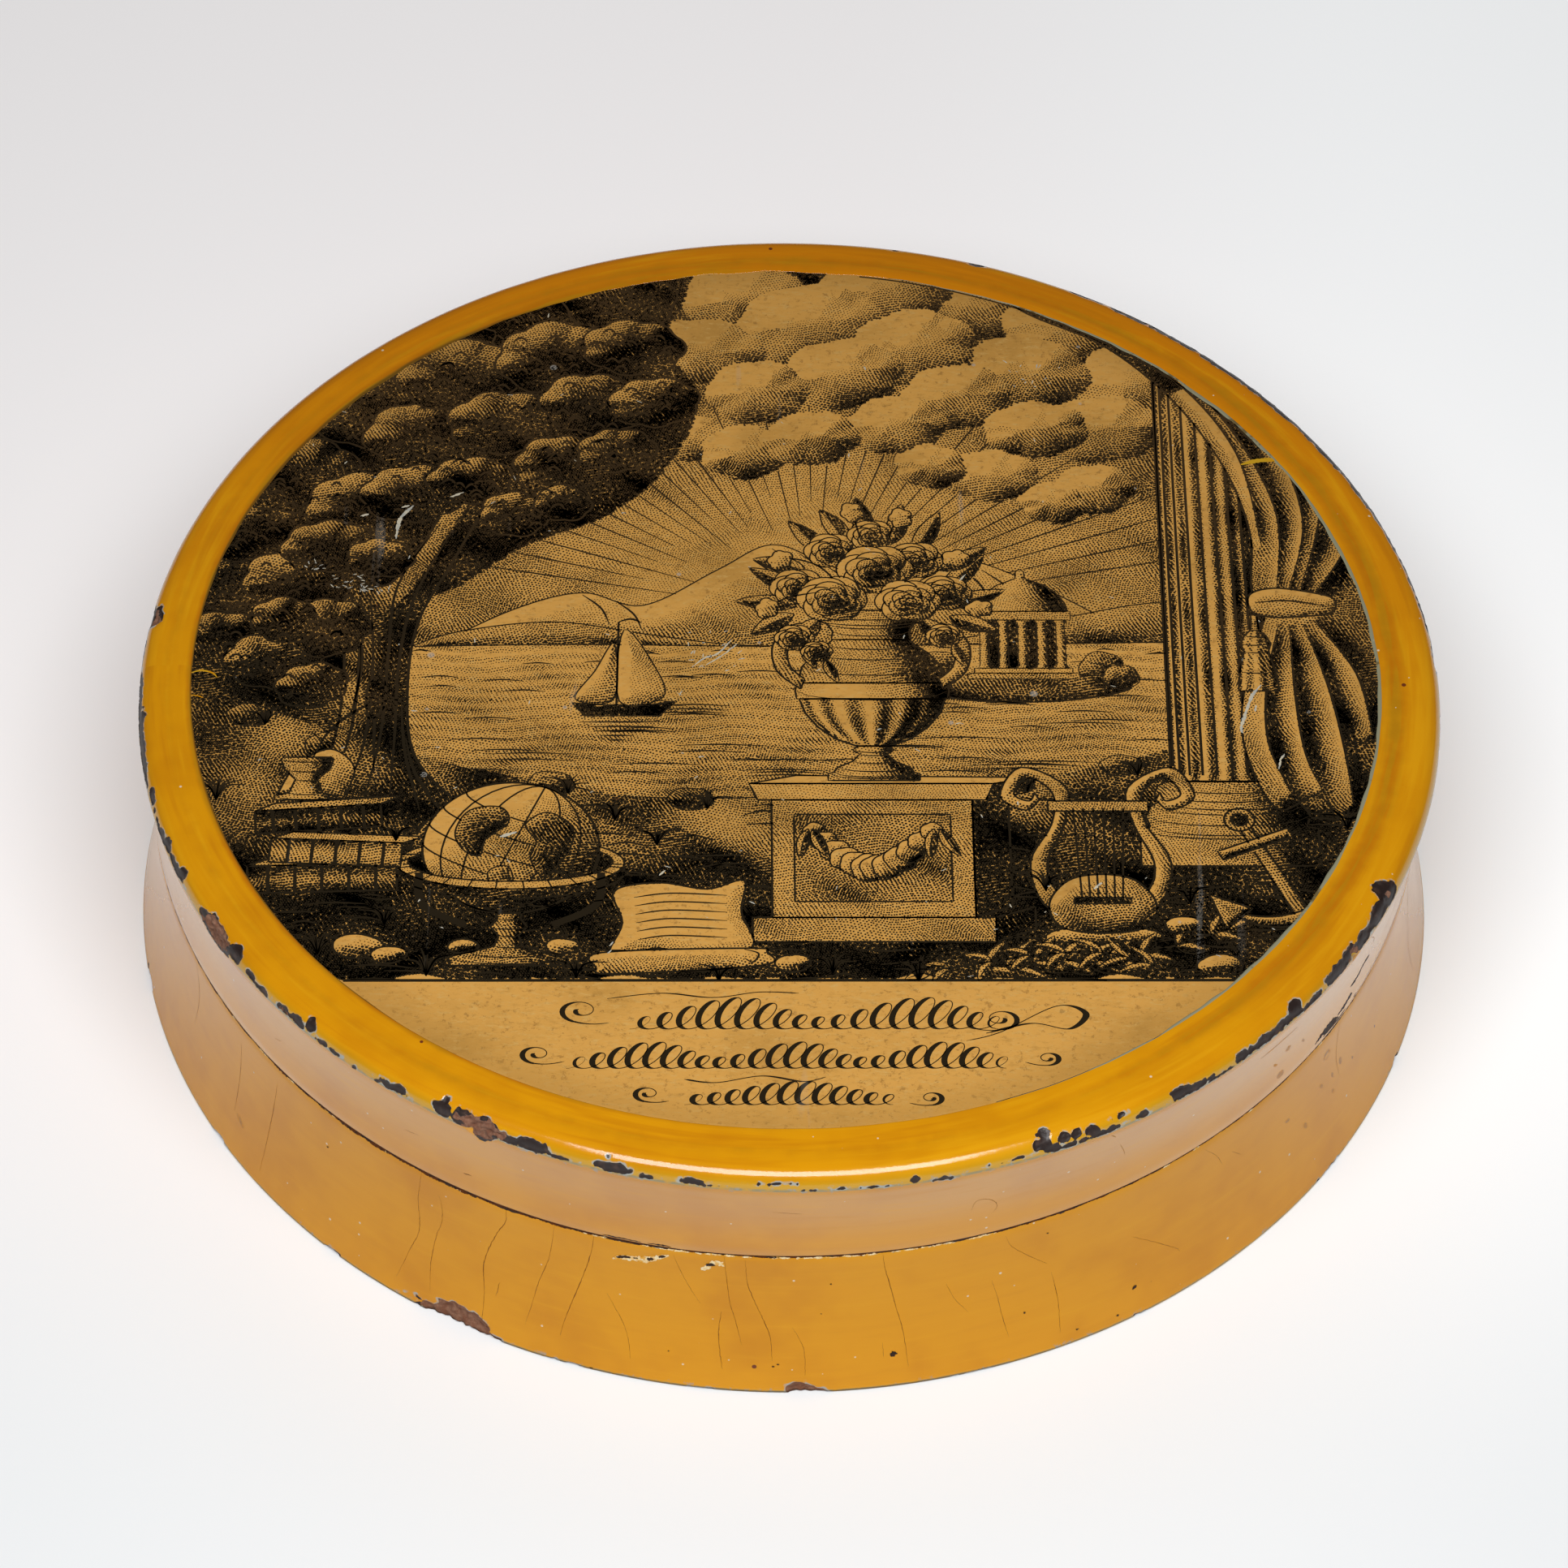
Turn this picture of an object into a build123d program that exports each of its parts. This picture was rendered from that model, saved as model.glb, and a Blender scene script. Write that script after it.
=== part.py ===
from build123d import *
import os

os.makedirs("parts", exist_ok=True)

# A round papier-mache snuff box. A tube of pasted paper is wound on a mandrel, turned to a waisted
# outline and parted into two hoops. A pressed board closes each hoop. A thin throat ring is glued
# into the lower hoop and stands up inside the upper one, so the lid slips over it. A round print is
# pasted on the lid's board, inside the moulded frame that is turned on the upper hoop's end.
# Millimetres, +Z up, origin at the centre of the foot on the table.

# Outline of the box with its lid on
lid_diameter = 95.0  # across the sharp arris round the lid's top
waist_inset = 0.8  # of the parting line from the arris, radially
foot_flare = 0.8  # of the foot beyond the arris, radially
base_side_height = 13.4  # from the table to the parting line
lid_side_height = 8.55  # from the parting line to the arris

# Frame turned on the upper hoop's end, from the print outwards: flat band, groove, roll
crown_rise = 1.4  # from the arris up to the flat band
band_width = 1.4
groove_width = 0.6
groove_depth = 0.12
roll_middle_shares = (0.55, 0.3)  # of the roll's width and drop, a point on its arc

# Walls, boards and print
hoop_wall = 3.2  # of both hoops at the parting line, whose bore is one straight tube
throat_wall = 1.4
throat_headroom = 2.05  # between the throat ring's rim and the lid's board
base_board_thickness = 2.2
foot_recess = 0.4  # of the base board above the table
lid_board_thickness = 2.2
print_margin = 0.2  # of bare board round the print
print_thickness = 0.15
print_recess = 0.05  # of the print's face below the frame's flat band

# Fits and eased edges
glue_line = 0.05  # radial room for glue between a board and its hoop
slip_clearance = 0.08  # radial, between the throat ring and both hoops
foot_ease = 0.2
parting_ease = 0.15
lead_in = 0.4  # inside the lid's mouth, to find the throat ring
throat_ease = 0.4
board_ease = 0.3  # round the underside of each board

# What follows from the sizes above
lid_radius = lid_diameter / 2
waist_radius = lid_radius - waist_inset
foot_radius = lid_radius + foot_flare
bore_radius = waist_radius - hoop_wall
board_radius = bore_radius - glue_line
throat_radius = bore_radius - slip_clearance
print_radius = bore_radius - print_margin
parting_height = base_side_height
arris_height = parting_height + lid_side_height
crown_height = arris_height + crown_rise
groove_start = bore_radius + band_width
roll_start = groove_start + groove_width
roll_middle = (
    roll_start + (lid_radius - roll_start) * roll_middle_shares[0],
    crown_height - crown_rise * roll_middle_shares[1],
)
base_board_top = foot_recess + base_board_thickness
lid_board_top = crown_height - print_recess - print_thickness
lid_board_underside = lid_board_top - lid_board_thickness
throat_height = lid_board_underside - throat_headroom - base_board_top

# Lower hoop: a wound tube, turned outside from the foot up to the parting line
with BuildPart() as base_hoop:
    with BuildSketch(Plane.XZ):
        with BuildLine():
            ThreePointArc(
                (foot_radius, 0),
                (waist_radius, parting_height),
                (lid_radius, arris_height),
            )
            Polyline(
                (lid_radius, arris_height),
                (bore_radius, arris_height),
                (bore_radius, 0),
                (foot_radius, 0),
            )
        make_face()
    revolve(axis=Axis.Z)
    split(bisect_by=Plane.XY.offset(parting_height), keep=Keep.BOTTOM)
    rings = base_hoop.edges().filter_by(GeomType.CIRCLE).group_by(Axis.Z)
    chamfer(rings[0].sort_by(SortBy.RADIUS)[-1], foot_ease)
    chamfer(rings[-1].sort_by(SortBy.RADIUS)[-1], parting_ease)

# Base board: a pressed disc glued into the lower hoop, a little above the table
with BuildPart() as base_board:
    with BuildSketch(Plane.XY.offset(foot_recess)):
        Circle(board_radius)
    extrude(amount=base_board_thickness)
    chamfer(base_board.edges().group_by(Axis.Z)[0], board_ease)

# Throat ring: a thin wound collar, glued into the lower hoop down to the base board
with BuildPart() as throat_ring:
    with BuildSketch(Plane.XY.offset(base_board_top)):
        Circle(throat_radius)
        Circle(throat_radius - throat_wall, mode=Mode.SUBTRACT)
    extrude(amount=throat_height)
    chamfer(throat_ring.edges().group_by(Axis.Z)[-1], throat_ease)

# Upper hoop: the same tube above the parting line, with the frame turned on its end
with BuildPart() as lid_hoop:
    with BuildSketch(Plane.XZ):
        with BuildLine():
            ThreePointArc(
                (foot_radius, 0),
                (waist_radius, parting_height),
                (lid_radius, arris_height),
            )
            ThreePointArc(
                (lid_radius, arris_height), roll_middle, (roll_start, crown_height)
            )
            ThreePointArc(
                (roll_start, crown_height),
                (groove_start + groove_width / 2, crown_height - groove_depth),
                (groove_start, crown_height),
            )
            Polyline(
                (groove_start, crown_height),
                (bore_radius, crown_height),
                (bore_radius, 0),
                (foot_radius, 0),
            )
        make_face()
    revolve(axis=Axis.Z)
    split(bisect_by=Plane.XY.offset(parting_height), keep=Keep.TOP)
    mouth = lid_hoop.edges().filter_by(GeomType.CIRCLE).group_by(Axis.Z)[0].sort_by(SortBy.RADIUS)
    chamfer(mouth[-1], parting_ease)
    chamfer(mouth[0], lead_in)

# Lid board: a pressed disc glued into the upper hoop, just under the frame's flat band
with BuildPart() as lid_board:
    with BuildSketch(Plane.XY.offset(lid_board_underside)):
        Circle(board_radius)
    extrude(amount=lid_board_thickness)
    chamfer(lid_board.edges().group_by(Axis.Z)[0], board_ease)

# Print: a paper disc pasted on the lid board and varnished over
with BuildPart() as print_sheet:
    with BuildSketch(Plane.XY.offset(lid_board_top)):
        Circle(print_radius)
    extrude(amount=print_thickness)

pieces = {
    "base_hoop": base_hoop,
    "base_board": base_board,
    "throat_ring": throat_ring,
    "lid_hoop": lid_hoop,
    "lid_board": lid_board,
    "print_sheet": print_sheet,
}
for name, piece in pieces.items():
    piece.part.label = name
    export_step(piece.part, f"parts/{name}.step")
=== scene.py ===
import math

import bpy
import numpy as np
from mathutils import Matrix, Vector


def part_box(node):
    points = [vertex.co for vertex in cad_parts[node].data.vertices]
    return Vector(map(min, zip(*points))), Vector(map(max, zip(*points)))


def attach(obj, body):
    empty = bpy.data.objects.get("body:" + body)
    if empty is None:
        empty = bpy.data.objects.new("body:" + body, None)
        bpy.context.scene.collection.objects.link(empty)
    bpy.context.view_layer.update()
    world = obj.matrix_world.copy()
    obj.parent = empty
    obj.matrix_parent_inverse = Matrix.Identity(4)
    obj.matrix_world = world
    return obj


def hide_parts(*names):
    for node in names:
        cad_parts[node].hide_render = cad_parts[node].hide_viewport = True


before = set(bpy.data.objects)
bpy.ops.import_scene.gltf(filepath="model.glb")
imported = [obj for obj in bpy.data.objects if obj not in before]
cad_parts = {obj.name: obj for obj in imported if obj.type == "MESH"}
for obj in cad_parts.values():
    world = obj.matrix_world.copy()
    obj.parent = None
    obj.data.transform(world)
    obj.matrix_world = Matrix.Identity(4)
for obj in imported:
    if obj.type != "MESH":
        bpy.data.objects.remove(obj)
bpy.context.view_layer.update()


# The table that the box stands on, and the eye that looks at it.
# A sheet of white card lies flat under the box. One soft lamp hangs near the box, above and in front, and a
# second one, behind, lights the card alone. The view is from 48 degrees above the table, through a long lens.

lid_low, lid_high = (np.array(corner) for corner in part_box("lid_hoop"))
lid_radius = (lid_high[0] - lid_low[0]) / 2
photo_side = 1932
focal_length_px = 8420.0
eye_elevation = math.radians(47.97)
eye_distance = 10.86 * lid_radius
eye_roll = math.radians(0.73)
foot_below_centre_px = 126.9


def look(elevation, distance, roll):
    """A camera's place: back from the origin along a line that rises at elevation, then turned by roll
    about it."""
    back = Vector((0.0, -math.cos(elevation), math.sin(elevation))) * distance
    tilt = Matrix.Rotation(math.pi / 2 - elevation, 4, "X")
    return Matrix.Translation(back) @ tilt @ Matrix.Rotation(roll, 4, "Z")


camera_data = bpy.data.cameras.new("camera")
camera_data.sensor_width = 36.0
camera_data.lens = focal_length_px / photo_side * camera_data.sensor_width
camera_data.shift_y = foot_below_centre_px / photo_side
camera_data.clip_start = 0.01
camera = bpy.data.objects.new("camera", camera_data)
camera.matrix_world = look(eye_elevation, eye_distance, eye_roll)
bpy.context.collection.objects.link(camera)
bpy.context.scene.camera = camera
bpy.context.scene.view_settings.view_transform = "Standard"


def feed(target, feeds):
    """Gives inputs of a node their sockets or values."""
    for key, value in dict(feeds).items():
        if isinstance(value, bpy.types.NodeSocket):
            target.id_data.links.new(value, target.inputs[key])
        else:
            target.inputs[key].default_value = value


def node(tree, kind, feeds=(), **settings):
    """Adds one node: settings are its own properties, feeds pairs an input with a socket or a value."""
    made = tree.nodes.new("ShaderNode" + kind)
    for key, value in settings.items():
        setattr(made, key, value)
    feed(made, feeds)
    return made


def sum_of(operation, *values):
    """The result of one sum on sockets and numbers, in the tree of the first socket."""
    tree = next(value.id_data for value in values if isinstance(value, bpy.types.NodeSocket))
    return node(tree, "Math", enumerate(values), operation=operation).outputs[0]


def times(first, second, *plus):
    """first times second, and a third value added where there is one."""
    return sum_of("MULTIPLY_ADD" if plus else "MULTIPLY", first, second, *plus)


def ramp(value, low, high, out_low=0.0, out_high=1.0):
    """A smooth step: out_low where value is at or under low, out_high where it is at or over high."""
    feeds = {"Value": value, "From Min": low, "From Max": high, "To Min": out_low, "To Max": out_high}
    return node(value.id_data, "MapRange", feeds, interpolation_type="SMOOTHSTEP").outputs["Result"]


def blend_colour(share, first, second):
    """first where share is 0, second where it is 1. Colours are sockets or (red, green, blue)."""
    first, second = ((*colour, 1.0) if isinstance(colour, tuple) else colour for colour in (first, second))
    return node(share.id_data, "Mix", {0: share, 6: first, 7: second}, data_type="RGBA").outputs[2]


def axes(place):
    """The X, Y and Z of a place."""
    return node(place.id_data, "SeparateXYZ", {0: place}).outputs


def from_axis(place):
    """How far a place lies from the box's upright axis."""
    level = node(place.id_data, "VectorMath", {0: place, 1: (1.0, 1.0, 0.0)}, operation="MULTIPLY").outputs[0]
    return node(place.id_data, "VectorMath", {0: level}, operation="LENGTH").outputs["Value"]


def new_finish(name):
    """A new material, its shader and the place on the piece that its patterns follow."""
    material = bpy.data.materials.new(name)
    material.use_nodes = True
    shader = material.node_tree.nodes["Principled BSDF"]
    return material, shader, node(shader.id_data, "TexCoord").outputs["Object"]


def coat(shader, colour, roughness, relief=None, depth=0.001, gloss=0.5):
    """Feeds a shader its colour, its roughness, a fine relief whose full height is depth in metres, and how
    much it mirrors."""
    feed(shader, {"Base Color": colour, "Roughness": roughness, "Specular IOR Level": gloss})
    if relief is not None:
        bump = node(shader.id_data, "Bump", {"Height": relief, "Strength": 1.0, "Distance": depth})
        feed(shader, {"Normal": bump.outputs["Normal"]})


def round_points(radius, height, turn):
    """Places at a radius and a height, turned round the upright axis, as an array of points."""
    points = np.broadcast_arrays(radius * np.cos(turn), radius * np.sin(turn), height)
    return np.stack(points, -1).reshape(-1, 3)


def grid_faces(rows, columns, closed_rows=False, closed_columns=False):
    """Quads between neighbours of a rows by columns grid, which may close on itself either way."""
    last_row = rows if closed_rows else rows - 1
    last_column = columns if closed_columns else columns - 1
    i, j = np.meshgrid(np.arange(last_row), np.arange(last_column), indexing="ij")
    after_i, after_j = (i + 1) % rows, (j + 1) % columns
    corners = (i * columns + j, i * columns + after_j, after_i * columns + after_j, after_i * columns + j)
    return np.stack(corners, -1).reshape(-1, 4)


def mesh_piece(name, points, *face_sets, smooth=True):
    """Puts an array of points, in millimetres, into a new object at the origin, with one or more arrays of
    faces. The faces of one array all have the same number of corners."""
    mesh = bpy.data.meshes.new(name)
    corners = np.concatenate([faces.ravel() for faces in face_sets])
    sizes = np.concatenate([np.full(len(faces), faces.shape[1]) for faces in face_sets])
    starts = np.concatenate([[0], np.cumsum(sizes)[:-1]])
    mesh.vertices.add(len(points))
    mesh.vertices.foreach_set("co", np.ascontiguousarray(points * 0.001, np.float32).ravel())
    mesh.loops.add(len(corners))
    mesh.loops.foreach_set("vertex_index", np.ascontiguousarray(corners, np.int32))
    mesh.polygons.add(len(sizes))
    mesh.polygons.foreach_set("loop_start", np.ascontiguousarray(starts, np.int32))
    mesh.update(calc_edges=True)
    mesh.polygons.foreach_set("use_smooth", np.full(len(sizes), smooth))
    made = bpy.data.objects.new(name, mesh)
    bpy.context.collection.objects.link(made)
    return made


table_reach = 1200.0
table_line = np.linspace(-table_reach, table_reach, 24)
# The card is painted greyer in front and paler behind and to the right: painted shade and light that set how
# bright the lit card looks.
card_front = (0.735, 0.755, 0.77)
card_back = (0.866, 0.85, 0.855)
card_right = (0.95, 0.985, 1.0)

table_x, table_y = np.meshgrid(table_line, table_line)
table_points = np.stack([table_x, table_y, np.zeros_like(table_x)], -1).reshape(-1, 3)
table = mesh_piece("table", table_points, grid_faces(len(table_line), len(table_line)))
card, shader, place = new_finish("white_card")
parts = axes(place)
far_card = blend_colour(ramp(parts["X"], 0.0, 0.055, 0.0, 0.6), card_back, card_right)
coat(shader, blend_colour(ramp(parts["Y"], -0.06, 0.0), card_front, far_card), 0.9, gloss=0.1)
table.data.materials.append(card)

lamp_elevation = math.radians(60.0)
lamp_distance = 0.3
lamp_width = 0.21
lamp_height = 0.12
lamp_power = 0.8
table_lamp_elevation = math.radians(135.0)
table_lamp_distance = 0.7
table_lamp_size = 0.5
table_lamp_power = 2.6
table_lamp_aside = 0.08
room_grey = (0.06, 0.0585, 0.056, 1.0)


def softbox(name, matrix, width, height, power):
    """A rectangular area lamp."""
    lamp_data = bpy.data.lights.new(name, "AREA")
    lamp_data.shape = "RECTANGLE"
    lamp_data.size, lamp_data.size_y = width, height
    lamp_data.energy = power
    lamp = bpy.data.objects.new(name, lamp_data)
    lamp.matrix_world = matrix
    bpy.context.collection.objects.link(lamp)
    return lamp


softbox("softbox", look(lamp_elevation, lamp_distance, 0.0), lamp_width, lamp_height, lamp_power)
table_lamp_view = look(table_lamp_elevation, table_lamp_distance, 0.0)
table_lamp_place = Matrix.Translation((table_lamp_aside, 0.0, 0.0)) @ table_lamp_view
table_lamp = softbox("table_lamp", table_lamp_place, table_lamp_size, table_lamp_size, table_lamp_power)
lit_alone = bpy.data.collections.new("lit_by_table_lamp")
lit_alone.objects.link(table)
table_lamp.light_linking.receiver_collection = lit_alone
table_lamp.light_linking.blocker_collection = lit_alone
world = bpy.data.worlds.new("room")
world.use_nodes = True
feed(world.node_tree.nodes["Background"], {"Color": room_grey, "Strength": 1.0})
bpy.context.scene.world = world


# Lower hoop: a tube of pasted paper wound on a mandrel, turned to a waisted outline and lacquered ochre. The
# lacquer is chipped along the foot down to a dark ground coat, and in one place the brown paper broke away.
# Fine cracks run down through the lacquer. Dirt has settled in the parting line and along the foot,
# and the shade of the gap under the lid and of the foot on the card is painted there in the same dark brown.

waist_inset = 0.8
foot_flare = 0.8
base_side_height = 13.4
lid_side_height = 8.55
crown_rise = 1.4
hoop_wall = 3.2
foot_ease = 0.2
parting_ease = 0.15
arris_radius = lid_radius * 1000
waist_radius = arris_radius - waist_inset
foot_radius = arris_radius + foot_flare
bore_radius = waist_radius - hoop_wall
arris_height = base_side_height + lid_side_height
crown_height = arris_height + crown_rise
outline = ((foot_radius, 0.0), (waist_radius, base_side_height), (arris_radius, arris_height))


def arc_through(first, middle, last, shares):
    """Points of the circle through three points, at shares of the way round it from first to last."""
    a, b, c = (np.array(point) for point in (first, middle, last))
    sides = 2 * np.array([b - a, c - a])
    centre = np.linalg.solve(sides, np.array([b @ b - a @ a, c @ c - a @ a]))
    turns = [math.atan2(*(point - centre)[::-1]) for point in (a, c)]
    sweep = (turns[1] - turns[0] + math.pi) % (2 * math.pi) - math.pi
    turn = turns[0] + sweep * np.asarray(shares)
    return centre + np.linalg.norm(a - centre) * np.stack([np.cos(turn), np.sin(turn)], -1)


def share_at_height(path, height):
    """The share of the way along a densely sampled rising path at which it reaches a height."""
    return float(np.interp(height, path[:, 1], np.linspace(0, 1, len(path))))


def ripple(turn, along, shortest, longest, count, seed):
    """Smooth noise of about unit size on a ring. It is a sum of sines, each with a whole number of waves
    round the ring, a random slant and start, and a wavelength between shortest and longest in
    millimetres."""
    chance = np.random.default_rng(seed)
    length = chance.uniform(shortest, longest, count)
    slant = chance.uniform(0, 2 * math.pi, count)
    start = chance.uniform(0, 2 * math.pi, count)
    waves_round = np.rint(2 * math.pi * arris_radius * np.cos(slant) / length)
    waves_along = 2 * math.pi * np.sin(slant) / length
    total = np.zeros(np.broadcast(turn, along).shape)
    for round_it, along_it, offset in zip(waves_round, waves_along, start):
        total += np.sin(turn * round_it + along * along_it + offset)
    return total / math.sqrt(count / 2)


def lobes(turn, along, places):
    """How far inside the nearest of several ellipses a point lies, in millimetres, negative outside them all.
    Each place is (degrees round the hoop, height along it, half width in degrees, half height)."""
    depth = np.full(np.broadcast(turn, along).shape, -5.0)
    for degrees, height, half_turn, half_height in places:
        off_turn = (turn - math.radians(degrees) + math.pi) % (2 * math.pi) - math.pi
        half_width = math.radians(half_turn) * arris_radius
        reach = np.hypot(off_turn * arris_radius / half_width, (along - height) / half_height)
        depth = np.maximum(depth, (1 - reach) * min(half_width, half_height))
    return depth


def quarter_turns(front_steps, back_steps):
    """Angles round the hoop from -180 degrees, finer in the two quarters of the front than in those of the
    back."""
    step_counts = (front_steps, front_steps, back_steps, back_steps)
    quarters = [np.linspace(0, 1, steps, endpoint=False) for steps in step_counts]
    return np.concatenate([(quarter + index - 2) * math.pi / 2 for index, quarter in enumerate(quarters)])


def store_map(piece, bake):
    """Stores a piece's map for baking: a place in the unit square for each corner of each face."""
    layer = piece.data.uv_layers.new(name="OFBake")
    layer.uv.foreach_set("vector", np.ascontiguousarray(bake, np.float32).ravel())


map_gap_across = 0.004
map_gap_up = 0.01


def revolve(name, section, turns, bake_weight):
    """Carries a closed section, a rows by 2 or rows by columns by 2 array of (radius, height), round the
    axis. Its map for baking lays the four quarters one above another, with each row as tall as bake_weight
    says."""
    rings = section if section.ndim == 3 else np.repeat(section[:, None], len(turns), axis=1)
    radius, height = rings[..., 0], rings[..., 1]
    rows, columns = radius.shape
    made = mesh_piece(name, round_points(radius, height, turns), grid_faces(rows, columns, True, True))
    quarter = np.floor((turns + math.pi) / (math.pi / 2) + 1e-6)
    starts = np.append(turns, turns[0] + 2 * math.pi)
    mean = rings.mean(1)
    lengths = np.hypot(*(np.roll(mean, -1, axis=0) - mean).T) * bake_weight
    level = np.concatenate([[0.0], np.cumsum(lengths)])
    level = level / level[-1]
    left = (starts[:-1] + math.pi) / (math.pi / 2) - quarter
    right = (starts[1:] + math.pi) / (math.pi / 2) - quarter
    i, j = np.meshgrid(np.arange(rows), np.arange(columns), indexing="ij")
    across = np.stack([left[j], right[j], right[j], left[j]], -1)
    up = np.stack([level[i], level[i], level[i + 1], level[i + 1]], -1)
    up = (quarter[j][..., None] + map_gap_up + (1 - 2 * map_gap_up) * up) / 4
    store_map(made, np.stack([map_gap_across + (1 - 2 * map_gap_across) * across, up], -1))
    return made


def mark(piece, **marks):
    """Stores numbers under their names, one of each for each vertex, for the material to read."""
    for name, values in marks.items():
        layer = piece.data.attributes.new(name, "FLOAT", "POINT")
        layer.data.foreach_set("value", np.ascontiguousarray(values, np.float32).ravel())


def recess(depth, edge, deepest):
    """How far a chip goes in: nothing outside it, rising smoothly to deepest over an edge of that width."""
    inside = np.clip(depth / edge, 0, 1)
    return deepest * inside * inside * (3 - 2 * inside)


def effect(name, inputs, outputs):
    """A new shader node group, whose sockets are numbers but for Colour: the group, what it is given, its
    result and the place on the piece."""
    group = bpy.data.node_groups.new(name, "ShaderNodeTree")
    for direction, sockets in (("INPUT", inputs), ("OUTPUT", outputs)):
        for socket in sockets:
            kind = "NodeSocketColor" if socket == "Colour" else "NodeSocketFloat"
            group.interface.new_socket(socket, in_out=direction, socket_type=kind)
    given, result = group.nodes.new("NodeGroupInput").outputs, group.nodes.new("NodeGroupOutput")
    return group, given, result, node(group, "TexCoord").outputs["Object"]


ochre = (0.735, 0.311, 0.0012)
ochre_deep = (0.64, 0.25, 0.001)
ochre_pale = (0.78, 0.36, 0.004)
ochre_lemon = (0.6, 0.34, 0.012)
ochre_thin = (0.49, 0.215, 0.003)
ochre_amber = (0.675, 0.225, 0.001)
ochre_burnt = (0.53, 0.175, 0.001)
ochre_bright = (0.8, 0.375, 0.004)
bloom_pale = (0.66, 0.5, 0.36)
ground_coat = (0.02, 0.0098, 0.0078)
ground_coat_worn = (0.058, 0.03, 0.022)
core_paper = (0.19, 0.075, 0.04)
core_paper_pale = (0.3, 0.155, 0.095)
print_shadow = (0.1, 0.055, 0.008)
chip_fringe = (0.4, 0.42, 0.39)
arris_grey = (0.34, 0.27, 0.12)
arris_blue = (0.34, 0.34, 0.31)
dirt_brown = (0.034, 0.012, 0.005)
dirt_red = (0.12, 0.033, 0.007)
speck_red = (0.16, 0.035, 0.008)
dust_pale = (0.78, 0.62, 0.42)
lining_brown = (0.02, 0.0115, 0.0085)

# Heights in metres where the painted sheen on the upper hoop's side rises, holds and fades, and where the
# frame begins.
bloom_foot = 0.0145
bloom_full = 0.0195
bloom_fades = 0.0209
bloom_top = 0.0217
frame_foot = 0.0222
frame_full = 0.0229

wear_marks = ("Chip", "Core", "Arris", "Thin", "Dirt", "Lining")
worn, given, result, place = effect("worn_lacquer", wear_marks, ("Colour", "Roughness", "Height"))
parts = axes(place)
round_it = times(sum_of("ARCTAN2", parts["Y"], parts["X"]), 6.0)
streak_feeds = {0: round_it, 1: times(parts["Z"], 1500.0), 2: times(from_axis(place), 1500.0)}
streak_place = node(worn, "CombineXYZ", streak_feeds).outputs[0]


def cloud(where, scale, detail=2.0, rough=0.5):
    """Noise between 0 and 1 whose lumps are about 1/scale metres wide."""
    feeds = {"Vector": where, "Scale": scale, "Detail": detail, "Roughness": rough}
    return node(where.id_data, "TexNoise", feeds).outputs["Fac"]


def dots(where, scale, shown, size):
    """Round spots: of cells 1/scale metres wide, the share shown has one, up to size of a cell in radius."""
    cell = node(where.id_data, "TexVoronoi", {"Vector": where, "Scale": scale}).outputs
    chance = node(where.id_data, "SeparateColor", {0: cell["Color"]}).outputs
    radius = times(ramp(chance["Red"], 1.0 - shown, 1.0), size)
    inside = sum_of("SUBTRACT", radius, cell["Distance"])
    return ramp(inside, 0.0, 0.03)


ragged = sum_of("SUBTRACT", cloud(place, 3600.0, 3.0), 0.5)
depth = times(ragged, 0.09, given["Chip"])
bare = ramp(depth, -0.012, 0.012)
fringe_patch = ramp(cloud(place, 900.0, 3.0, 0.65), 0.46, 0.6)
fringe = times(ramp(depth, -0.14, -0.03), fringe_patch)
core_depth = times(ragged, 0.5, given["Core"])
core = times(ramp(core_depth, -0.04, 0.06), bare)

tone = cloud(place, 120.0, 3.0, 0.6)
streaks = cloud(streak_place, 1.0, 3.0, 0.6)
brush_place = node(worn, "VectorMath", {0: streak_place, 1: (0.4, 0.5, 0.5)}, operation="MULTIPLY").outputs[0]
brushed = cloud(brush_place, 1.0, 3.0, 0.6)
on_frame = ramp(parts["Z"], frame_foot, frame_full)
paint = blend_colour(ramp(tone, 0.25, 0.6), ochre_deep, ochre)
# Darker and redder towards the back and a little to the right: partly painted shade, partly a redder lacquer
# there.
shaded_side = times(parts["X"], 0.12, parts["Y"])
paint = blend_colour(ramp(shaded_side, -0.012, 0.045), paint, ochre_amber)
# A pale band high on the upper hoop's side, stronger to the right: a painted sheen, the white card's
# reflection painted into the colour.
bloom = times(ramp(parts["Z"], bloom_foot, bloom_full), ramp(parts["Z"], bloom_top, bloom_fades))
bloom = times(bloom, ramp(parts["X"], -0.01, 0.035, 0.17, 0.34))
paint = blend_colour(bloom, paint, bloom_pale)
paint = blend_colour(ramp(streaks, 0.5, 0.9, 0.0, 0.5), paint, ochre_pale)
paint = blend_colour(ramp(streaks, 0.5, 0.1, 0.0, 0.45), paint, ochre_deep)
paint = blend_colour(times(ramp(brushed, 0.53, 0.69, 0.0, 0.46), on_frame), paint, ochre_burnt)
paint = blend_colour(times(ramp(brushed, 0.5, 0.34, 0.0, 0.62), on_frame), paint, ochre_bright)
from_edge = given["Arris"]
near_edge = times(ramp(from_edge, 1.3, 0.3), ramp(from_edge, -0.25, 0.0, 0.0, 0.8))
paint = blend_colour(near_edge, paint, ochre_lemon)
thin = ramp(times(cloud(place, 700.0, 3.0), 0.6, given["Thin"]), 0.35, 1.25)
thin_tone = blend_colour(ramp(streaks, 0.42, 0.58), ochre_thin, ochre_burnt)
paint = blend_colour(thin, paint, thin_tone)
paint = blend_colour(ramp(given["Thin"], 0.82, 1.2, 0.0, 0.85), paint, print_shadow)
along_arris = cloud(place, 900.0, 4.0, 0.7)
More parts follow.
